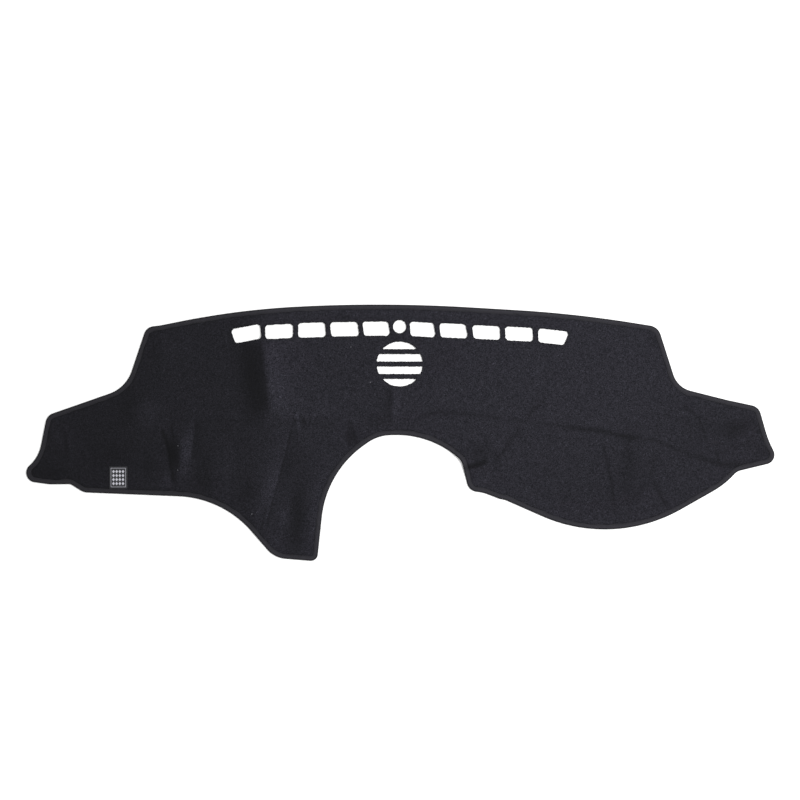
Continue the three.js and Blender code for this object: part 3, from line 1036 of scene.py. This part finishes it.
@dataclass(frozen=True)
class DamaskLabel(Finish):
    """Woven damask label: a black satin ground with a plain figure in silver-grey weft."""

    name: str = "woven_damask_label"
    ground: str = "#1b1b20"
    figure: str = "#b4b4bc"
    diamond_mm: tuple[float, float] = (6.0, 7.6)  # cell across and along the label
    diamond_share: float = 0.42
    diamond_blur: float = 0.04
    frame_mm: float = 3.2  # middle of the border line, measured from the label's edge
    frame_width_mm: float = 0.5
    field_mm: float = 5.0  # distance from the edge at which the diamonds begin
    pick_mm: float = 0.6  # weft lines, drawn coarser than real ones so that they show

    def surface(self, tree: bpy.types.NodeTree) -> dict:
        """A border line and diamonds where |x| + |y| in a cell is small."""
        cloth = add_node(tree, "ShaderNodeUVMap", uv_map="cloth").outputs["UV"]
        across, along = (per_metre(size) for size in self.diamond_mm)
        cells = add_node(tree, "ShaderNodeVectorMath", {
            0: cloth, 1: (across, along, 0)}, operation="MULTIPLY")
        inside = add_node(tree, "ShaderNodeVectorMath", {0: cells.outputs[0]}, operation="FRACTION")
        offset = add_node(tree, "ShaderNodeVectorMath", {
            0: inside.outputs[0], 1: (0.5, 0.5, 0)}, operation="SUBTRACT")
        folded = add_node(tree, "ShaderNodeVectorMath", {0: offset.outputs[0]}, operation="ABSOLUTE")
        away = add_node(tree, "ShaderNodeVectorMath", {
            0: folded.outputs[0], 1: (1, 1, 0)}, operation="DOT_PRODUCT")
        diamond = add_node(tree, "ShaderNodeMapRange", {
            "Value": away.outputs["Value"], "From Min": self.diamond_share + self.diamond_blur,
            "From Max": self.diamond_share - self.diamond_blur})
        rim = add_node(tree, "ShaderNodeAttribute", attribute_name="rim").outputs["Fac"]
        within = add_node(tree, "ShaderNodeMath", {0: rim, 1: self.field_mm}, operation="GREATER_THAN")
        field_part = add_node(tree, "ShaderNodeMath", {
            0: diamond.outputs["Result"], 1: within.outputs[0]}, operation="MULTIPLY")
        from_line = add_node(tree, "ShaderNodeMath", {0: rim, 1: self.frame_mm}, operation="SUBTRACT")
        line_off = add_node(tree, "ShaderNodeMath", {0: from_line.outputs[0]}, operation="ABSOLUTE")
        line = add_node(tree, "ShaderNodeMath", {
            0: line_off.outputs[0], 1: self.frame_width_mm / 2}, operation="LESS_THAN")
        figure = add_node(tree, "ShaderNodeMath", {
            0: field_part.outputs[0], 1: line.outputs[0]}, operation="MAXIMUM")
        picks = add_node(tree, "ShaderNodeTexWave", {
            "Vector": cloth, "Scale": wave_scale(self.pick_mm), "Distortion": 0.4},
            wave_type="BANDS", bands_direction="Y")
        colour = add_node(tree, "ShaderNodeMix", {
            MIX_FACTOR: figure.outputs[0], MIX_A: linear(self.ground), MIX_B: linear(self.figure)},
            data_type="RGBA")
        shade = add_node(tree, "ShaderNodeMapRange", {
            "Value": picks.outputs["Fac"], "To Min": 0.72, "To Max": 1.0})
        woven = add_node(tree, "ShaderNodeVectorMath", {
            0: colour.outputs[MIX_COLOUR], "Scale": shade.outputs["Result"]}, operation="SCALE")
        relief = add_node(tree, "ShaderNodeBump", {
            "Height": picks.outputs["Fac"], "Strength": 0.4, "Distance": 0.15 * MM})
        return {
            "Base Color": woven.outputs["Vector"], "Roughness": 0.45,
            "Specular IOR Level": 0.4, "Normal": relief.outputs["Normal"]}


@dataclass(frozen=True)
class StudioPaper(Finish):
    """Matt white paper under the mat."""

    name: str = "matt_white_paper"
    colour: str = "#f4f4f4"

    def surface(self, tree: bpy.types.NodeTree) -> dict:
        """Plain, rough and without gloss."""
        return {
            "Base Color": linear(self.colour), "Roughness": 0.9, "Specular IOR Level": 0.1}


# Sub-assemblies


@dataclass
class FeltPanel:
    """The cut of felt: full height in its field, pressed thin under the tape, raw at the openings."""

    pattern: MatPattern
    lay: Lay
    thickness: float = 3.0
    spacing: float = 4.6  # of the points in the field
    edge_step: float = 3.0
    hole_step: float = 1.4
    crease_step: float = 2.6
    rim_insets: tuple[float, ...] = (1.3, 5.0, 8.2, 9.4, 11.0, 14.0)
    rim_drop: tuple[float, ...] = (1.0, 0.75, 0.95, 0.55, 0.12, 0.0)
    rim_rise: tuple[float, ...] = (0.75, 0.7, 0.7, 0.4, 0.08, 0.0)
    # painted shadow on the felt beside the tape's inner edge, and faint painted shade under the tape
    rim_tone: tuple[float, ...] = (-4, -4, -7, -7, -2, 0)
    cut_insets: tuple[float, ...] = (0.0, -0.3, -0.9, -2.4)
    cut_drop: tuple[float, ...] = (0.75, 0.22, 0.0, 0.0)
    cut_rise: tuple[float, ...] = (0.5, 0.12, 0.0, 0.0)
    cut_tone: tuple[float, ...] = (-22, -18, -10, 0)
    rag: float = 0.22  # how far a raw cut strays from its line
    bulge: float = 0.15  # how far the cut's middle stands into the opening
    sliver: float = 0.001  # nearer to a straight cut than this, a triangle has no area
    rng: np.random.Generator = field(default_factory=lambda: np.random.default_rng(7))

    def rim_rings(self) -> Array:
        """Rings of points beside the outer edge, (stations, rings, 2)."""
        stations = self.pattern.edge.stations(self.edge_step)
        return self.pattern.edge.at(stations, np.array(self.rim_insets))

    def cut_rings(self, line: CutLine, seed: int) -> Array:
        """Rings of points round one opening, all strayed alike from the cut line.

        Args:
            line: The opening's cut line.
            seed: Seed of the straying.

        Returns:
            Points, (stations, rings, 2).
        """
        t = line.stations(self.hole_step)
        rings = line.at(t, np.array(self.cut_insets))
        share = np.arange(len(t)) / len(t)
        outward = unit(rings[:, 2] - rings[:, 1])
        stray = self.rag * ripple(share, 9, 4, max(len(t) // 4, 6), seed)
        fade = np.array([1.0, 1.0, 0.6, 0.2])
        return rings + (stray[:, None, None] * fade[:, None]) * outward[:, None]

    def field_points(self, edge: Array, cuts: list[Array]) -> Array:
        """Points of the open field: staggered rows, and finer rows along each crease.

        Args:
            edge: Innermost ring beside the outer edge.
            cuts: Outermost ring round each opening.

        Returns:
            Points that keep clear of the rings, (n, 2).
        """
        low, high = edge.min(axis=0), edge.max(axis=0)
        rise = self.spacing * np.sqrt(3) / 2
        x, y = np.meshgrid(np.arange(low[0], high[0], self.spacing), np.arange(low[1], high[1], rise))
        x = x + (np.arange(len(x)) % 2)[:, None] * self.spacing / 2
        rows = np.stack([x.ravel(), y.ravel()], axis=1)
        rows += self.rng.uniform(-0.18, 0.18, rows.shape) * self.spacing
        for crease in self.lay.creases:
            band = 1.5 * crease.width + 0.6 * self.spacing
            rows = rows[np.abs(crease.near(rows)[0]) > band]
        fine = np.concatenate([self.crease_rows(crease) for crease in self.lay.creases])
        cells = np.unique(np.round(fine / (0.7 * self.crease_step)), axis=0, return_index=True)[1]
        points = np.concatenate([rows, fine[np.sort(cells)]])
        points = points[clearance(points, edge[::2]) > 0.5 * self.spacing]
        for cut in cuts:
            near = np.all((points > cut.min(axis=0) - 9) & (points < cut.max(axis=0) + 9), axis=1)
            keep = ~near
            keep[near] = clearance(points[near], cut) < -0.35 * self.spacing
            points = points[keep]
        return points

    def crease_rows(self, crease: Crease) -> Array:
        """Rows of points along one crease, on it and to both sides of it."""
        offsets = crease.width * np.array([-1.5, -0.75, 0, 0.75, 1.5])
        rows = []
        for start, run, length in crease.sides():
            along = np.arange(0, length, self.crease_step)[:, None, None] * run / length
            rows.append((start + along + offsets[:, None] * left_of(run) / length).reshape(-1, 2))
        return np.concatenate(rows)

    def build(self) -> bpy.types.Object:
        """Builds the felt as one closed surface.

        The top and the underside share one triangulation of the ground plan, trimmed by the cut
        lines. A point's height is the cloth's lift, plus the felt's thickness and relief on top,
        less the drop of the ring that it lies on. Walls join both sides at every cut.

        Returns:
            The panel, dressed.
        """
        rim = self.rim_rings()
        cuts = [self.cut_rings(line, seed) for seed, line in enumerate(self.pattern.openings)]
        rings = [(rim, self.rim_drop, self.rim_rise, self.rim_tone)]
        rings += [(cut, self.cut_drop, self.cut_rise, self.cut_tone) for cut in cuts]
        parts, drop, rise, tone, loops, count = [], [], [], [], [], 0
        for ring, ring_drop, ring_rise, ring_tone in rings:
            stations = len(ring)
            loops.append(np.arange(count, count + stations))
            count += ring.shape[0] * ring.shape[1]
            parts.append(ring.transpose(1, 0, 2).reshape(-1, 2))
            drop.append(np.repeat(ring_drop, stations))
            rise.append(np.repeat(ring_rise, stations))
            tone.append(np.repeat(ring_tone, stations))
        inner = self.field_points(rim[:, -1], [cut[:, -1] for cut in cuts])
        plan = np.concatenate([*parts, inner])
        level = np.zeros(len(inner))
        drop, rise, tone = (np.concatenate([*part, level]) for part in (drop, rise, tone))
        top = self.trimmed_triangles(plan, loops)
        lift, relief = self.lay.lift(plan), self.lay.relief(plan)
        above = np.column_stack([plan, self.thickness + lift + relief - drop])
        below = np.column_stack([plan, lift + np.maximum(relief, 0) + rise])
        under = top[:, ::-1] + len(plan)
        points, walls = [above, below], []
        count = 2 * len(plan)
        for number, loop in enumerate(loops):
            outward = self.outward(plan[loop], hole=number > 0)
            middle = 0.5 * (above[loop] + below[loop])
            middle[:, :2] += self.bulge * outward
            points.append(middle)
            ring = np.arange(count, count + len(loop))
            count += len(loop)
            for first, second in ((loop, ring), (ring, loop + len(plan))):
                quads = np.stack([first, second, np.roll(second, -1), np.roll(first, -1)], axis=1)
                walls.append(quads if number == 0 else quads[:, ::-1])
        piece = add_piece("felt_panel", np.concatenate(points), [top, under, *walls])
        wall_tone = np.concatenate([np.full(len(loop), self.cut_tone[0]) for loop in loops])
        every = np.concatenate([tone, tone, wall_tone])
        xy = np.concatenate(points)[:, :2]
        # painted light and shade of the mat, with the painted shadow beside the tape and the darker
        # cut edges
        write_attribute(piece, "painted_shading", self.lay.painted_shading(self.lay.tone(xy) + every))
        self.dress(piece, len(top), len(under))
        return piece

    def trimmed_triangles(self, plan: Array, loops: list[Array]) -> Array:
        """Triangulates the ground plan and drops what lies past its edge or in an opening.

        Only a triangle with all its corners on one cut line can lie off the felt, so only the
        middles of those are tested against that line.

        Args:
            plan: All points, (n, 2).
            loops: Point numbers of each cut line, the outer edge first.

        Returns:
            Corner numbers, (triangles, 3).
        """
        faces = [loop.tolist() for loop in loops]
        made = delaunay_2d_cdt([Vector(p) for p in plan.tolist()], [], faces, 0, 1e-7, False)
        triangles = np.array(made[2])
        if len(made[0]) != len(plan) or triangles.shape[1] != 3:
            raise RuntimeError("the ground plan's points ran together")
        owner = np.full(len(plan), -1)
        for number, loop in enumerate(loops):
            owner[loop] = number
        keep = np.ones(len(triangles), bool)
        for number, loop in enumerate(loops):
            cut_off = np.flatnonzero(np.all(owner[triangles] == number, axis=1))
            inwards = clearance(plan[triangles[cut_off]].mean(axis=1), plan[loop])
            keep[cut_off] = (inwards if number == 0 else -inwards) > self.sliver
        return triangles[keep]

    @staticmethod
    def outward(loop: Array, hole: bool) -> Array:
        """Unit vectors out of the felt along a closed loop that runs counter-clockwise."""
        side = left_of(heading(loop))
        return side if hole else -side

    def dress(self, piece: bpy.types.Object, top: int, under: int) -> None:
        """Gives the pile side and the cuts their felt, and the underside its backing.

        Args:
            piece: The panel.
            top: Number of faces of the pile side, which come first.
            under: Number of faces of the underside, which follow.
        """
        piece.data.materials.append(NeedledFelt().build())
        piece.data.materials.append(DottedBacking().build())
        index = np.zeros(len(piece.data.polygons), np.int32)
        index[top : top + under] = 1
        piece.data.polygons.foreach_set("material_index", index)
        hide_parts("mat_panel")


@dataclass
class EdgeBinding:
    """Woven tape folded round the mat's edge and pressed flat by its seam."""

    pattern: MatPattern
    lay: Lay
    step: float = 2.6
    width: float = 9.0
    seam: float = 7.9  # inset of the seam
    # Section as inset and height: over the top, round the nose, along the underside, then back inside
    section: tuple[tuple[float, float], ...] = (
        (9.0, 2.30), (9.08, 2.62), (8.85, 2.86), (8.35, 2.88), (7.9, 2.70), (7.45, 2.92), (6.6, 3.10),
        (5.2, 3.20), (3.8, 3.16), (2.7, 3.02), (1.8, 2.80), (1.0, 2.46), (0.45, 2.08), (0.1, 1.72),
        (0.0, 1.38), (0.1, 1.02), (0.45, 0.62), (1.0, 0.28), (1.8, 0.08), (3.2, 0.0), (6.4, 0.0),
        (7.45, 0.03), (7.9, 0.18), (8.35, 0.03), (8.85, 0.02), (9.08, 0.24), (9.0, 0.60),
        (7.9, 0.66), (5.0, 0.55), (2.4, 0.62), (1.3, 0.95), (0.9, 1.4), (1.3, 1.9), (2.4, 2.35),
        (5.0, 2.55), (7.9, 2.20),
    )
    # Painted light and shade across the tape: shade on the nose, which turns from the light, a sheen
    # on the flat band, and shade in the seam's groove
    painted_nose_shade: float = -26.0
    nose_reach: float = 2.1
    painted_band_sheen: float = 8.0
    painted_seam_shade: float = -7.0
    seam_reach: float = 2.2
    felt_share: float = 0.54  # how much of the felt's painted light and shade the tape shares
    waver: float = 0.35  # how far the tape's inner line strays
    pucker: float = 0.14  # how much the tape rises and falls along the edge

    def tone_across(self, inset: Array) -> Array:
        """Painted light and shade over the section: painted shade on the nose, a painted sheen on the
        band, and painted shade in the seam.
        """
        nose = self.painted_nose_shade * np.exp(-((inset / self.nose_reach) ** 2))
        seam = self.painted_seam_shade * np.exp(-(((inset - self.seam) / self.seam_reach) ** 2))
        return nose + seam + self.painted_band_sheen

    def build(self) -> bpy.types.Object:
        """Builds the tape: its section carried along the cut edge, as a grid of place and inset.

        Returns:
            The binding, dressed.
        """
        section = np.array(self.section)
        t = self.pattern.edge.stations(self.step)
        share = np.arange(len(t)) / len(t)
        plan = self.pattern.edge.at(t, section[:, 0])
        inward = unit(plan[:, 0] - plan[:, len(section) // 3])
        loose = np.clip((section[:, 0] - 5) / 4, 0, 1)
        stray = self.waver * ripple(share, 24, 20, 160, 3)
        plan = plan + stray[:, None, None] * loose[:, None] * inward[:, None]
        upper = np.clip((section[:, 1] - 1.4) / 1.6, 0, 1)
        swell = self.pucker * ripple(share, 40, 60, 300, 5)
        height = section[:, 1] + swell[:, None] * upper + self.lay.lift(plan)
        points = np.concatenate([plan, height[..., None]], axis=-1)
        faces = grid_faces(len(t), len(section), True, True)
        piece = add_piece("edge_tape", points.reshape(-1, 3), [faces])
        across = np.cumsum(np.linalg.norm(np.diff(section, axis=0, prepend=section[:1]), axis=1))
        along = share * self.step * len(t)
        uv = np.stack(np.broadcast_arrays(along[:, None], across[None]), axis=-1).reshape(-1, 2) * MM
        write_uv(piece, uv)
        # painted light and shade: part of the felt's, and the tape's own across its section
        tone = self.felt_share * self.lay.tone(plan) + self.tone_across(section[:, 0])
        write_attribute(piece, "painted_shading", self.lay.painted_shading(tone).ravel())
        piece.data.materials.append(TwillTape().build())
        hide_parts("edge_binding")
        return piece


class SeamFace(Enum):
    """Face of the mat that a row of stitches shows on."""

    PILE = "pile"
    BACK = "back"


@dataclass
class SeamStitches:
    """Lock stitches that hold the tape: a thread laid from hole to hole on each face."""

    pattern: MatPattern
    lay: Lay
    tape: EdgeBinding
    pitch: float = 3.2
    length: float = 2.5
    radius: float = 0.24
    slant: float = 0.16  # how far a stitch leans across the seam
    rise: float = 0.26  # of its middle over its ends
    sink: float = 0.16  # of its ends into the tape
    sides: int = 5
    pile_height: float = 2.78
    back_height: float = 0.42

    def build(self, face: SeamFace) -> bpy.types.Object:
        """Builds one row of stitches along the seam.

        Each stitch is a short thread whose ends dip into the tape and whose middle stands proud.

        Args:
            face: The face of the mat that the row is on.

        Returns:
            The row, dressed.
        """
        edge = self.pattern.edge
        t = edge.stations(self.pitch)
        centre = edge.at(t, np.array([self.tape.seam]))[:, 0]
        run = heading(centre)
        share = np.array([-0.5, -0.4, -0.15, 0.15, 0.4, 0.5])
        offset = share * self.length
        plan = centre[:, None] + offset[:, None] * run[:, None]
        plan += self.slant * (2 * share)[:, None] * left_of(run)[:, None]
        arch = self.rise * (1 - (2 * share) ** 2) - self.sink
        up = 1 if face is SeamFace.PILE else -1
        level = self.pile_height if face is SeamFace.PILE else self.back_height
        height = self.lay.lift(plan) + level + up * arch
        path = np.concatenate([plan, height[..., None]], axis=-1)
        radius = self.radius * np.array([0.8, 1.0, 1.0, 0.8])
        points, faces = threads(path, radius, self.sides)
        piece = add_piece(f"seam_stitches_{face.value}", points, faces)
        finish = SpunThread(f"spun_thread_{face.value}")
        piece.data.materials.append(finish.build())
        return piece


@dataclass
class CornerLabel:
    """Small woven label laid on the pile near the left end and sewn round its border."""

    lay: Lay
    felt_height: float = 3.0
    thickness: float = 0.7
    corner: float = 1.2
    columns: int = 68
    rows: int = 84
    stitch_pitch: float = 2.6
    stitch_length: float = 1.9
    stitch_radius: float = 0.17
    stitch_inset: float = 1.3
    groove: float = 0.2  # how deep the stitches pull the border in
    border: float = 0.1  # height of the border over the pile
    sunk: float = 0.25  # how far the label presses into the pile

    def __post_init__(self) -> None:
        """Takes the label's place and size from its solid."""
        low, high = (np.array(corner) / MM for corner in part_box("corner_label"))
        self.middle = (low[:2] + high[:2]) / 2
        self.half = (high[:2] - low[:2]) / 2

    def outline(self, inset: float) -> CutLine:
        """The label's border moved inwards."""
        half = self.half - inset
        signs = np.array([(-1, -1), (1, -1), (1, 1), (-1, 1)])
        return CutLine(np.column_stack([self.middle + signs * half, np.full(4, self.corner)]))

    def build(self) -> bpy.types.Object:
        """Builds the label: a thin pillow on a square grid, bent up over the pile.

        A grid over [-1, 1] squared is spread over the label. Its height rises from the border as
        1 - (1 - d / r) squared within a radius r, and a second, lower sheet closes it below.

        Returns:
            The label, dressed.
        """
        u = np.linspace(-1, 1, self.columns)
        v = np.linspace(-1, 1, self.rows)
        grid = np.stack(np.meshgrid(u, v), axis=-1)
        plan = self.middle + grid * self.half
        rim = np.min(self.half * (1 - np.abs(grid)), axis=-1)
        rise = 1 - (1 - np.clip(rim / 0.8, 0, 1)) ** 2
        seam = self.groove * np.exp(-(((rim - self.stitch_inset) / 0.7) ** 2))
        base = self.lay.lift(plan) + self.felt_height
        top = base + self.border + (self.thickness - self.border) * rise - seam
        low = base - self.sunk
        points = np.concatenate([
            np.concatenate([plan, top[..., None]], axis=-1).reshape(-1, 3),
            np.concatenate([plan, low[..., None]], axis=-1).reshape(-1, 3),
        ])
        size = self.columns * self.rows
        faces = grid_faces(self.rows, self.columns, False, False)[:, ::-1]
        number = np.arange(size).reshape(self.rows, self.columns)
        ring = np.concatenate([number[0, :-1], number[:-1, -1], number[-1, :0:-1], number[:0:-1, 0]])
        walls = np.stack([ring, ring + size, np.roll(ring, -1) + size, np.roll(ring, -1)], axis=1)
        piece = add_piece("woven_label", points, [faces, faces[:, ::-1] + size, walls])
        write_uv(piece, np.tile(((grid * self.half) * MM).reshape(-1, 2), (2, 1)))
        write_attribute(piece, "rim", np.tile(rim.ravel(), 2))
        piece.data.materials.append(DamaskLabel().build())
        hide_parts("corner_label")
        return piece

    def build_stitches(self) -> bpy.types.Object:
        """Builds the thread that runs round inside the label's border."""
        line = self.outline(self.stitch_inset)
        centre = line.points(self.stitch_pitch)
        run = heading(centre)
        share = np.array([-0.5, -0.4, 0.0, 0.4, 0.5])
        plan = centre[:, None] + (share * self.stitch_length)[:, None] * run[:, None]
        arch = 0.2 * (1 - (2 * share) ** 2) - 0.1
        height = self.lay.lift(plan) + self.felt_height + self.thickness - 0.2 + arch
        path = np.concatenate([plan, height[..., None]], axis=-1)
        points, faces = threads(path, self.stitch_radius * np.array([0.8, 1.0, 0.8]), 5)
        piece = add_piece("label_stitches", points, faces)
        piece.data.materials.append(SpunThread("label_thread", "#1c1c20", "#3a3a42").build())
        return piece


@dataclass
class CutFuzz:
    """Fibre ends that stand out of the raw cuts round the openings."""

    pattern: MatPattern
    lay: Lay
    spacing: float = 1.1
    shortest: float = 0.5
    longest: float = 1.7
    heights: tuple[float, float] = (0.7, 2.75)  # of the roots, within the cut
    radius: float = 0.07
    seed: int = 11

    def build(self) -> bpy.types.Object:
        """Builds the fibres: each leaves the cut at a random height and curls as it goes.

        A fibre is root + s * length * ahead + s squared * curl, for s from 0 to 1.

        Returns:
            The fibres, dressed.
        """
        rng = np.random.default_rng(self.seed)
        roots, out = [], []
        for line in self.pattern.openings:
            t = line.stations(self.spacing)
            rings = line.at(t, np.array([-0.4, 0.6]))
            roots.append(rings[:, 0])
            out.append(unit(rings[:, 1] - rings[:, 0]))
        root, away = np.concatenate(roots), np.concatenate(out)
        count = len(root)
        root = root + rng.normal(0, 0.35, root.shape)
        height = self.lay.lift(root) + rng.uniform(*self.heights, count)
        slew = rng.normal(0, 0.7, count)[:, None]
        flat = away + slew * left_of(away)
        ahead = unit(np.column_stack([flat, rng.normal(0.1, 0.35, count)]))
        length = rng.uniform(self.shortest, self.longest, count)
        curl = rng.normal(0, 0.35, (count, 3))
        s = np.array([0, 0.1, 0.55, 1.0])
        start = np.column_stack([root, height])
        path = start[:, None] + (s * length[:, None])[..., None] * ahead[:, None]
        path += (s**2)[:, None] * curl[:, None]
        path[..., 2] = np.maximum(path[..., 2], 2 * self.radius)  # none dips into the floor
        points, faces = threads(path, self.radius * np.array([1.0, 0.8]), 4)
        piece = add_piece("cut_edge_fibres", points, faces)
        piece.data.materials.append(SpunThread("cut_felt_fibre", "#151519", "#25242b").build())
        return piece


@dataclass
class Lint:
    """Specks of pale lint that the pile has picked up."""

    lay: Lay
    places: tuple[tuple[float, float], ...] = (
        (-422, -25), (-422, -71), (-282, -155), (-57, 96), (-94, 163),
    )
    sizes: tuple[float, ...] = (0.5, 0.7, 0.9, 0.9, 0.8)
    fibres: int = 7
    radius: float = 0.13
    felt_height: float = 3.0
    seed: int = 5

    def build(self) -> bpy.types.Object:
        """Builds each speck as a few curled fibres: arcs of a circle with random size and turn.

        Returns:
            The specks, dressed.
        """
        rng = np.random.default_rng(self.seed)
        centre = np.repeat(np.array(self.places, float), self.fibres, axis=0)
        size = np.repeat(self.sizes, self.fibres)
        count = len(centre)
        sweep = rng.uniform(1.5, 4.5, count)
        start = rng.uniform(0, 2 * np.pi, count)
        bend = size * rng.uniform(0.4, 1.0, count)
        s = np.linspace(0, 1, 9)
        angle = start[:, None] + sweep[:, None] * s
        middle = centre + rng.normal(0, 0.35, centre.shape) * size[:, None]
        x = middle[:, :1] + bend[:, None] * np.cos(angle)
        y = middle[:, 1:] + bend[:, None] * np.sin(angle)
        lift = self.lay.lift(np.stack([x, y], axis=-1))
        z = lift + self.felt_height + 0.15 + rng.uniform(0, 0.4, count)[:, None] * np.sin(np.pi * s)
        points, faces = threads(np.stack([x, y, z], axis=-1), np.full(7, self.radius), 4)
        piece = add_piece("lint_specks", points, faces)
        piece.data.materials.append(SpunThread("pale_lint", "#606066", "#94949a").build())
        return piece


@dataclass
class Studio:
    """White floor, soft light and the camera straight above the mat."""

    frame_width: float = 1.52  # metres of floor across the picture
    lens: float = 85.0
    sensor: float = 36.0
    centre: tuple[float, float] = (-0.0007, 0.0621)
    floor_size: float = 12.0
    floor_gap: float = 0.05 * MM  # keeps the paper off the mat's underside
    key_power: float = 110.0
    key_size: tuple[float, float] = (2.6, 1.8)
    key_place: tuple[float, float, float] = (1.9, 0.7, 2.5)
    fill_strength: float = 0.8

    def build_floor(self) -> None:
        """Lays the paper that the mat rests on."""
        half, low = self.floor_size / 2, -self.floor_gap
        mesh = bpy.data.meshes.new("floor")
        corners = [(-half, -half, low), (half, -half, low), (half, half, low), (-half, half, low)]
        mesh.from_pydata(corners, [], [(0, 1, 2, 3)])
        floor = bpy.data.objects.new("floor", mesh)
        floor.data.materials.append(StudioPaper().build())
        bpy.context.scene.collection.objects.link(floor)

    def build_light(self) -> None:
        """Hangs one large soft light to the right and fills the rest from a white room."""
        scene = bpy.context.scene
        lamp = bpy.data.lights.new("key_softbox", "AREA")
        lamp.shape = "RECTANGLE"
        lamp.size, lamp.size_y = self.key_size
        lamp.energy = self.key_power
        key = bpy.data.objects.new("key_softbox", lamp)
        key.location = self.key_place
        aim = Vector((0, 0, 0)) - key.location
        key.rotation_euler = aim.to_track_quat("-Z", "Y").to_euler()
        scene.collection.objects.link(key)
        world = bpy.data.worlds.new("white_room")
        world.use_nodes = True
        world.node_tree.nodes["Background"].inputs["Color"].default_value = (1, 1, 1, 1)
        world.node_tree.nodes["Background"].inputs["Strength"].default_value = self.fill_strength
        scene.world = world
        scene.view_settings.view_transform = "Standard"

    def build_camera(self) -> None:
        """Sets the camera over the mat, with the picture's upper side towards the windscreen."""
        data = bpy.data.cameras.new("overhead")
        data.lens, data.sensor_width = self.lens, self.sensor
        data.dof.use_dof = False
        camera = bpy.data.objects.new("overhead", data)
        camera.location = (*self.centre, self.frame_width * self.lens / self.sensor)
        bpy.context.scene.collection.objects.link(camera)
        bpy.context.scene.camera = camera


def main() -> None:
    logging.basicConfig(level=logging.INFO, format="%(name)s: %(message)s")
    pattern = MatPattern()
    lay = Lay(FOLDS, CREASES, PATCHES, PROFILE)
    panel = FeltPanel(pattern, lay).build()
    tape = EdgeBinding(pattern, lay)
    stitches = SeamStitches(pattern, lay, tape)
    label = CornerLabel(lay)
    trims = [
        tape.build(),
        stitches.build(SeamFace.PILE),
        stitches.build(SeamFace.BACK),
        label.build(),
        label.build_stitches(),
        CutFuzz(pattern, lay).build(),
        Lint(lay).build(),
    ]
    for piece in (panel, *trims):
        triangles = sum(len(p.vertices) - 2 for p in piece.data.polygons)
        LOG.info("%s: %d triangles", piece.name, triangles)
    studio = Studio()
    studio.build_floor()
    studio.build_light()
    studio.build_camera()


if __name__ == "__main__":
    main()
